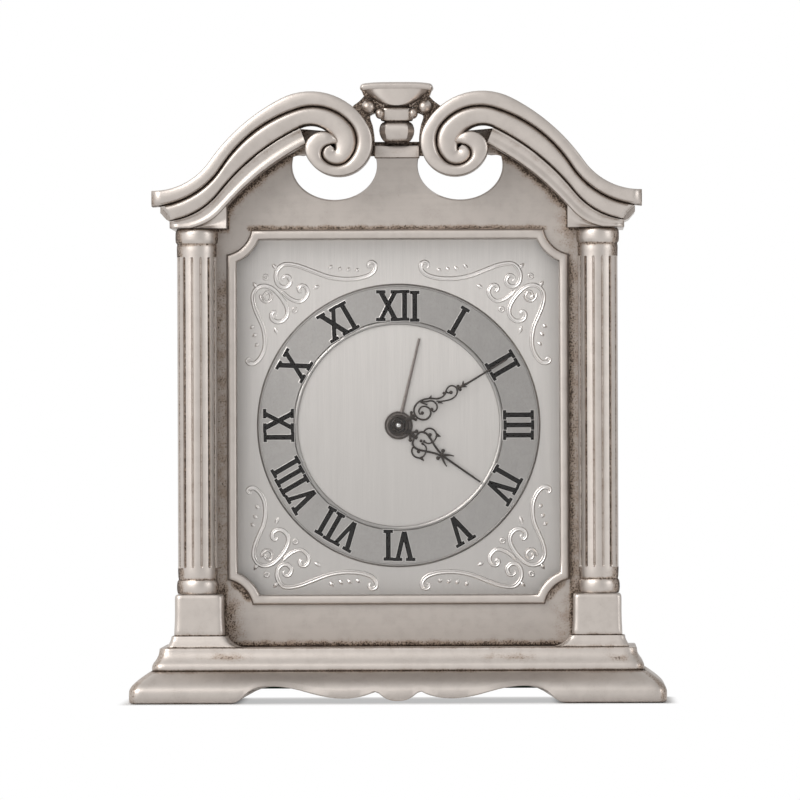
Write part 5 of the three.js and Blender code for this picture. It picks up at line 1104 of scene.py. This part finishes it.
hourHand = Hand("hour_hand", hands["hour"])
hourHand.hub([(1.91, 0.1), (2.05, 0.05), (2.2, 0), (2.35, 0.05), (2.45, 0.15)])
hourHand.stroke([(2.2, 0), (3.6, 0), (5.2, 0)], 1, 0.6, 8)
hourHand.dots((4.1, -1.25, 0.4), (4.1, 1.25, 0.4), (6.2, 0, 0.34))
for side in (-1, 1):
    hourHand.stroke([(3.4, 0.3), (4.1, 1.15)], 0.4, 0.4, side=side)
    hourHand.stroke([(4.6, 0.35), (4.75, 1.2), (5.3, 1.85), (6.3, 2.05), (7.4, 1.75), (8.9, 1.1),
                     (10.3, 0.55), (11.9, 0.12)], 0.36, 0.36, 60, side=side)
    hourHand.stroke([(5.55, 1.95), (5.6, 2.75), (6.15, 3.45), (7.1, 3.72), (8.05, 3.4), (8.6, 2.6),
                     (8.6, 1.6), (8.2, 0.75), (7.6, 0.35), (6.95, 0.3)], 0.3, 0.24, 64, side=side)
    hourHand.stroke([(6.6, 2), (7.1, 2.3)], 0.3, 0.3, side=side).dots((7.1, side * 2.3, 0.42))
    hourHand.stroke([(8.2, 3.1), (9.3, 3.35)], 0.75, 0.12, side=side)
    hourHand.dots((11.6, side * 1.02, 0.45)).stroke([(11.6, 1), (12, 0.2)], 0.3, 0.3, side=side)
    hourHand.stroke([(12.2, 0.2), (13.2, 0.95), (14.3, 1.45)], 0.5, 0.16, 8, side=side)
    hourHand.dots((6.85, side * 0.32, 0.3))
hourHand.stroke([(11.6, 0), (13, 0), (22.6, 0)], 0.52, 0.3)
hourHand.build("hourHand", "hour_work", handBronze, "hand_bronze")

alarmHand = Hand("alarm_hand", hands["alarm"])
alarmHand.hub([(2.46, 0.15), (2.8, 0.15), (2.95, 0.02), (3.08, 0), (3.2, 0.12)])
alarmHand.stroke([(2.9, 0), (8, 0), (20.3, 0)], 0.62, 0.42)
alarmHand.build("alarmHand", "alarm_work", greySteel, "grey_steel")


def makeNut():
    # A turned nut with a groove, and the bright end of the arbor in its middle.
    _, _, front, back, outer = boxMiddle("hand_nut")
    nut = [(0.62, back), (0.62, front + 0.12), (0.8, front + 0.05), (outer * 0.8, front + 0.2),
           (outer * 0.86, front + 0.34), (outer, front + 0.3), (outer, back)]
    Shell().turned(nut, 48, 0, dial["z"], closeRows=True).build(
        "handNut", "minute_work", handBronze, "steel", ["hand_nut"], sharp=30)
    pin = [(0.0, front), (0.3, front + 0.02), (0.5, front + 0.12), (0.58, front + 0.3), (0.58, back),
           (0.0, back)]
    Shell().turned(pin, 32, 0, dial["z"]).build("arborEnd", "minute_work", brightSteel, "steel", sharp=40)


makeNut()
print("hands made")

# Keys, knobs, screws and the stop pin behind the cover. Their places come from the frame.
key = {"bore": 1.6, "lobe": 3.5, "half": 3.0, "thick": 1.6, "waist": 4.9, "foot": (1.5, -0.8)}
knob = {"ribs": 14, "rib": 0.2, "edge": 0.35, "bore": 1.3, "dish": 2.1, "dishDepth": 0.3}
screw = {"slot": 0.16, "slotDepth": 0.75, "shank": 1.0, "dome": 0.55}
# Radius and distance from the front of the key's hub and of the stop pin's head.
keyHub = np.array([(2.2, 0), (2.5, 0.3), (2.5, 1.2), (2.3, 1.4), (2.3, 1.7), (2.5, 1.9), (2.5, 4.5),
                   (2.2, 4.9), (1.2, 5), (0, 5)])
pinHead = np.array([(1.2, 0), (2.1, 0), (2.4, 0.25), (2.4, 0.7), (2.25, 0.85), (2.25, 1.05), (2.4, 1.2),
                    (2.4, 1.6), (2.2, 1.85), (1.6, 2), (0, 2)])


def bored(outer, radius, start, floor):
    # A turned outline with a blind hole from its front.
    return np.array([(0.0, floor), (radius, floor), (radius, start), *outer])


def makeKey(name, node, body):
    # A turned hub with a blind hole, and a flat bow: two round lobes that meet at a waist.
    x, z, start, stop, _ = boxMiddle(node)
    hubBack, lobe, half = start + keyHub[-1, 1], key["lobe"], key["thick"] / 2
    shell = Shell().turned(bored(keyHub + (0, start), key["bore"], start, hubBack - 1.0), 64, x, z)
    turn = np.radians(np.linspace(-90, 135, 40))
    wing = lobe * circle(turn) + (key["half"], lobe)
    right = np.concatenate([[key["foot"]], wing])
    line = np.concatenate([right, [(0.0, key["waist"])], (right * (-1, 1))[::-1]])
    points, faces = flatSheet(name, line, [], -half, half, 0.4)
    points = points[:, [0, 2, 1]] + (x, hubBack, z)
    points[:, 1] = np.minimum(points[:, 1], stop)
    return shell.put(points, 0.0, faces).build(name, body, brass, "brass", [node], sharp=50)


def makeKnob(name, node, body):
    # Ribs follow a cosine round the rim; the end is a shallow dish.
    x, z, start, stop, outer = boxMiddle(node)
    rim, edge, dish, floor = outer - knob["rib"], knob["edge"], knob["dish"], stop - knob["dishDepth"]
    profile = bored([(rim - edge, start), (rim, start + 0.25), (rim, stop - 0.3), (rim - 0.15, stop - 0.1),
                     (rim - edge, stop), (dish, stop), (dish - 0.25, floor), (0.0, floor)],
                    knob["bore"], start, stop - 1.0)
    points = lathe(profile, knob["ribs"] * 16, "y")
    angle = np.arctan2(points[..., 2], points[..., 0])
    isRim = (profile[:, 0] > rim - 0.2)[:, None]
    grow = np.where(isRim, 1 + knob["rib"] / rim * np.cos(knob["ribs"] * angle), 1.0)
    points = points * stacked(grow, 1, grow) + (x, 0, z)
    return Shell().grid(points, 0.0, closeColumns=True).build(name, body, brass, "brass", [node], sharp=35)


def makeScrew(name, node):
    # A domed head with a slot, on a plain shank.
    x, z, start, stop, outer = boxMiddle(node)
    seat, slot, shank = cornersOf("back_cover")[1][1] + hair, screw["slot"], screw["shank"]
    side = np.concatenate([-np.linspace(1.55, slot, 18), [-slot], [slot], np.linspace(slot, 1.55, 18)])
    across = outer * np.sin(side)[:, None]
    up = np.sin(np.linspace(-math.pi / 2, math.pi / 2, 25)) * np.sqrt(outer ** 2 - across ** 2)
    dome = stop - (stop - seat) * screw["dome"] * (np.hypot(up, across) / outer) ** 3
    dome[18:20] = stop - screw["slotDepth"]
    points = stacked(across + x, up + z)
    shell = Shell().slab(points, np.maximum(dome, seat + 0.2), seat)
    shell.turned([(0.0, start), (shank, start), (shank, seat), (0.0, seat)], 24, x, z)
    return shell.build(name, "case", brightSteel, "steel", [node], sharp=35, weld=0.0005)


def makeStopPin():
    # A plain stem and a grooved head, turned as one profile.
    x, z, start, stop, _ = boxMiddle("alarm_stop_pin")
    profile = [(0, start), (pinHead[0, 0], start), *(pinHead + (0, stop - pinHead[-1, 1]))]
    shell = Shell().turned(profile, 64, x, z)
    return shell.build("alarmStopPin", "alarm_stop_pin", brightSteel, "steel", ["alarm_stop_pin"], sharp=35)


makeKey("timeKey", "time_key", "time_winding")
makeKey("alarmKey", "alarm_key", "alarm_winding")
makeKnob("timeSetKnob", "time_set_knob", "minute_work")
makeKnob("alarmSetKnob", "alarm_set_knob", "alarm_setter")
makeScrew("leftCoverScrew", "left_cover_screw")
makeScrew("rightCoverScrew", "right_cover_screw")
makeStopPin()
print("back pieces made")


# The finish of the frame's own pieces that stay in view. The movement is brass and steel.
stays = {caseSilver: ["case_shell", "roof_cornice", "back_cover", "glass_frame"],
         dialSilver: ["dial_plate"], dialGlass: ["dial_glass"], greenFelt: ["base_felt"]}
chosen = {node: finish for finish, nodes in stays.items() for node in nodes}
steelNames = ("arbor", "pin", "screw", "click", "spring", "lever", "hammer", "escape", "post")
for node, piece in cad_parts.items():
    finish = chosen.get(node) or (brightSteel if any(word in node for word in steelNames) else brass)
    piece.data.materials.clear()
    piece.data.materials.append(finish)


shadow = {"half": 60.4, "front": -32.8}  # the shadow's edges on the floor


def floorFinish():
    # Pale and lit round the object, where it keeps the shadow, but under the base's arch it glows
    # half white: painted light over the shade there. Further out it turns to the white of the
    # background for the camera and for metal and glass that mirror it.
    finish = Finish("paleFloor")
    finish.set(Base_Color=(0.88, 0.88, 0.88), Roughness=0.9)
    camera, mirror = finish.seen()
    aside = ((abs(finish.x) - shadow["half"]) * 4.0).most(0.0)
    ahead = (shadow["front"] - finish.y).most(finish.y - base["back"]).most(0.0)
    # Painted light: under the arch the floor glows half white over the shade beneath the base.
    arch = finish.ramp(abs(finish.x), 38.0, 34.0) * 0.5
    share = finish.ramp(aside.reach(ahead), 0.0, 12.0).most(arch)
    lit, white = Wire(finish.tree, finish.shader.outputs[0]), finish.add("ShaderNodeEmission")
    return finish.show(lit, white, (camera + mirror).clamp() * share)


floorHalf, floorTop = 3, -0.0002
floorCorners = [(x * floorHalf, y * floorHalf, floorTop) for x, y in ((-1, -1), (1, -1), (1, 1), (-1, 1))]
floorMesh = bpy.data.meshes.new("floor")
floorMesh.from_pydata(floorCorners, [], [(0, 1, 2, 3)])
floorMesh.materials.append(floorFinish())
floor = bpy.data.objects.new("floor", floorMesh)
bpy.context.scene.collection.objects.link(floor)

world = bpy.data.worlds.new("studio")
bpy.context.scene.world = world
world.use_nodes = True
sky = Nodes(world.node_tree)
camera, mirror = sky.seen()
heading = sky.add("ShaderNodeTexCoord", output="Generated")
side = Wire(sky.tree, sky.add("ShaderNodeSeparateXYZ", {}, {0: heading}, output=None).outputs[0])
background = world.node_tree.nodes["Background"]
background.inputs["Color"].default_value = (1, 1, 1, 1)
# White to the camera. Metal sees a studio that is brighter on the left.
strength = camera.most(mirror * (1.08 - (side * 1.6 + 0.5).clamp() * 0.4)).most(0.45)
sky.tree.links.new(strength.socket, background.inputs["Strength"])


def areaLight(name, place, target, size, power, colour=(1, 1, 1)):
    # A round lamp that faces its target.
    lamp = bpy.data.lights.new(name, "AREA")
    lamp.shape, lamp.size, lamp.energy, lamp.color = "DISK", size, power, colour
    light = bpy.data.objects.new(name, lamp)
    ahead = np.array(target, float) - np.array(place, float)
    light.location = place
    flat = math.hypot(ahead[0], ahead[1])
    light.rotation_euler = (math.atan2(flat, -ahead[2]), 0, math.atan2(ahead[1], ahead[0]) - math.pi / 2)
    bpy.context.scene.collection.objects.link(light)


areaLight("keyLight", (-0.50, -0.62, 0.50), (0, 0, 0.06), 0.6, 4.4, (1.0, 0.985, 0.97))
areaLight("fillLight", (0.75, -0.45, 0.3), (0, 0, 0.06), 0.4, 1.3)

view = {"distance": 2.4, "turn": 0.8, "height": 0.060, "plane": -0.025, "centre": (0.0006, 0.0680),
        "span": 0.18008, "sensor": 36.0, "roll": 0.2}
camera = bpy.data.objects.new("camera", bpy.data.cameras.new("camera"))
turn = math.radians(view["turn"])
camera.location = (view["centre"][0] + view["distance"] * math.sin(turn),
                   view["plane"] - view["distance"] * math.cos(turn), view["height"])
camera.rotation_euler = (math.pi / 2, math.radians(view["roll"]), turn)
camera.data.sensor_width = view["sensor"]
camera.data.lens = view["sensor"] * view["distance"] / view["span"]
camera.data.shift_y = (view["centre"][1] - view["height"]) / view["span"]
camera.data.clip_start = 0.01
bpy.context.scene.collection.objects.link(camera)
bpy.context.scene.camera = camera
bpy.context.scene.view_settings.view_transform = "Standard"

print("scene ready")
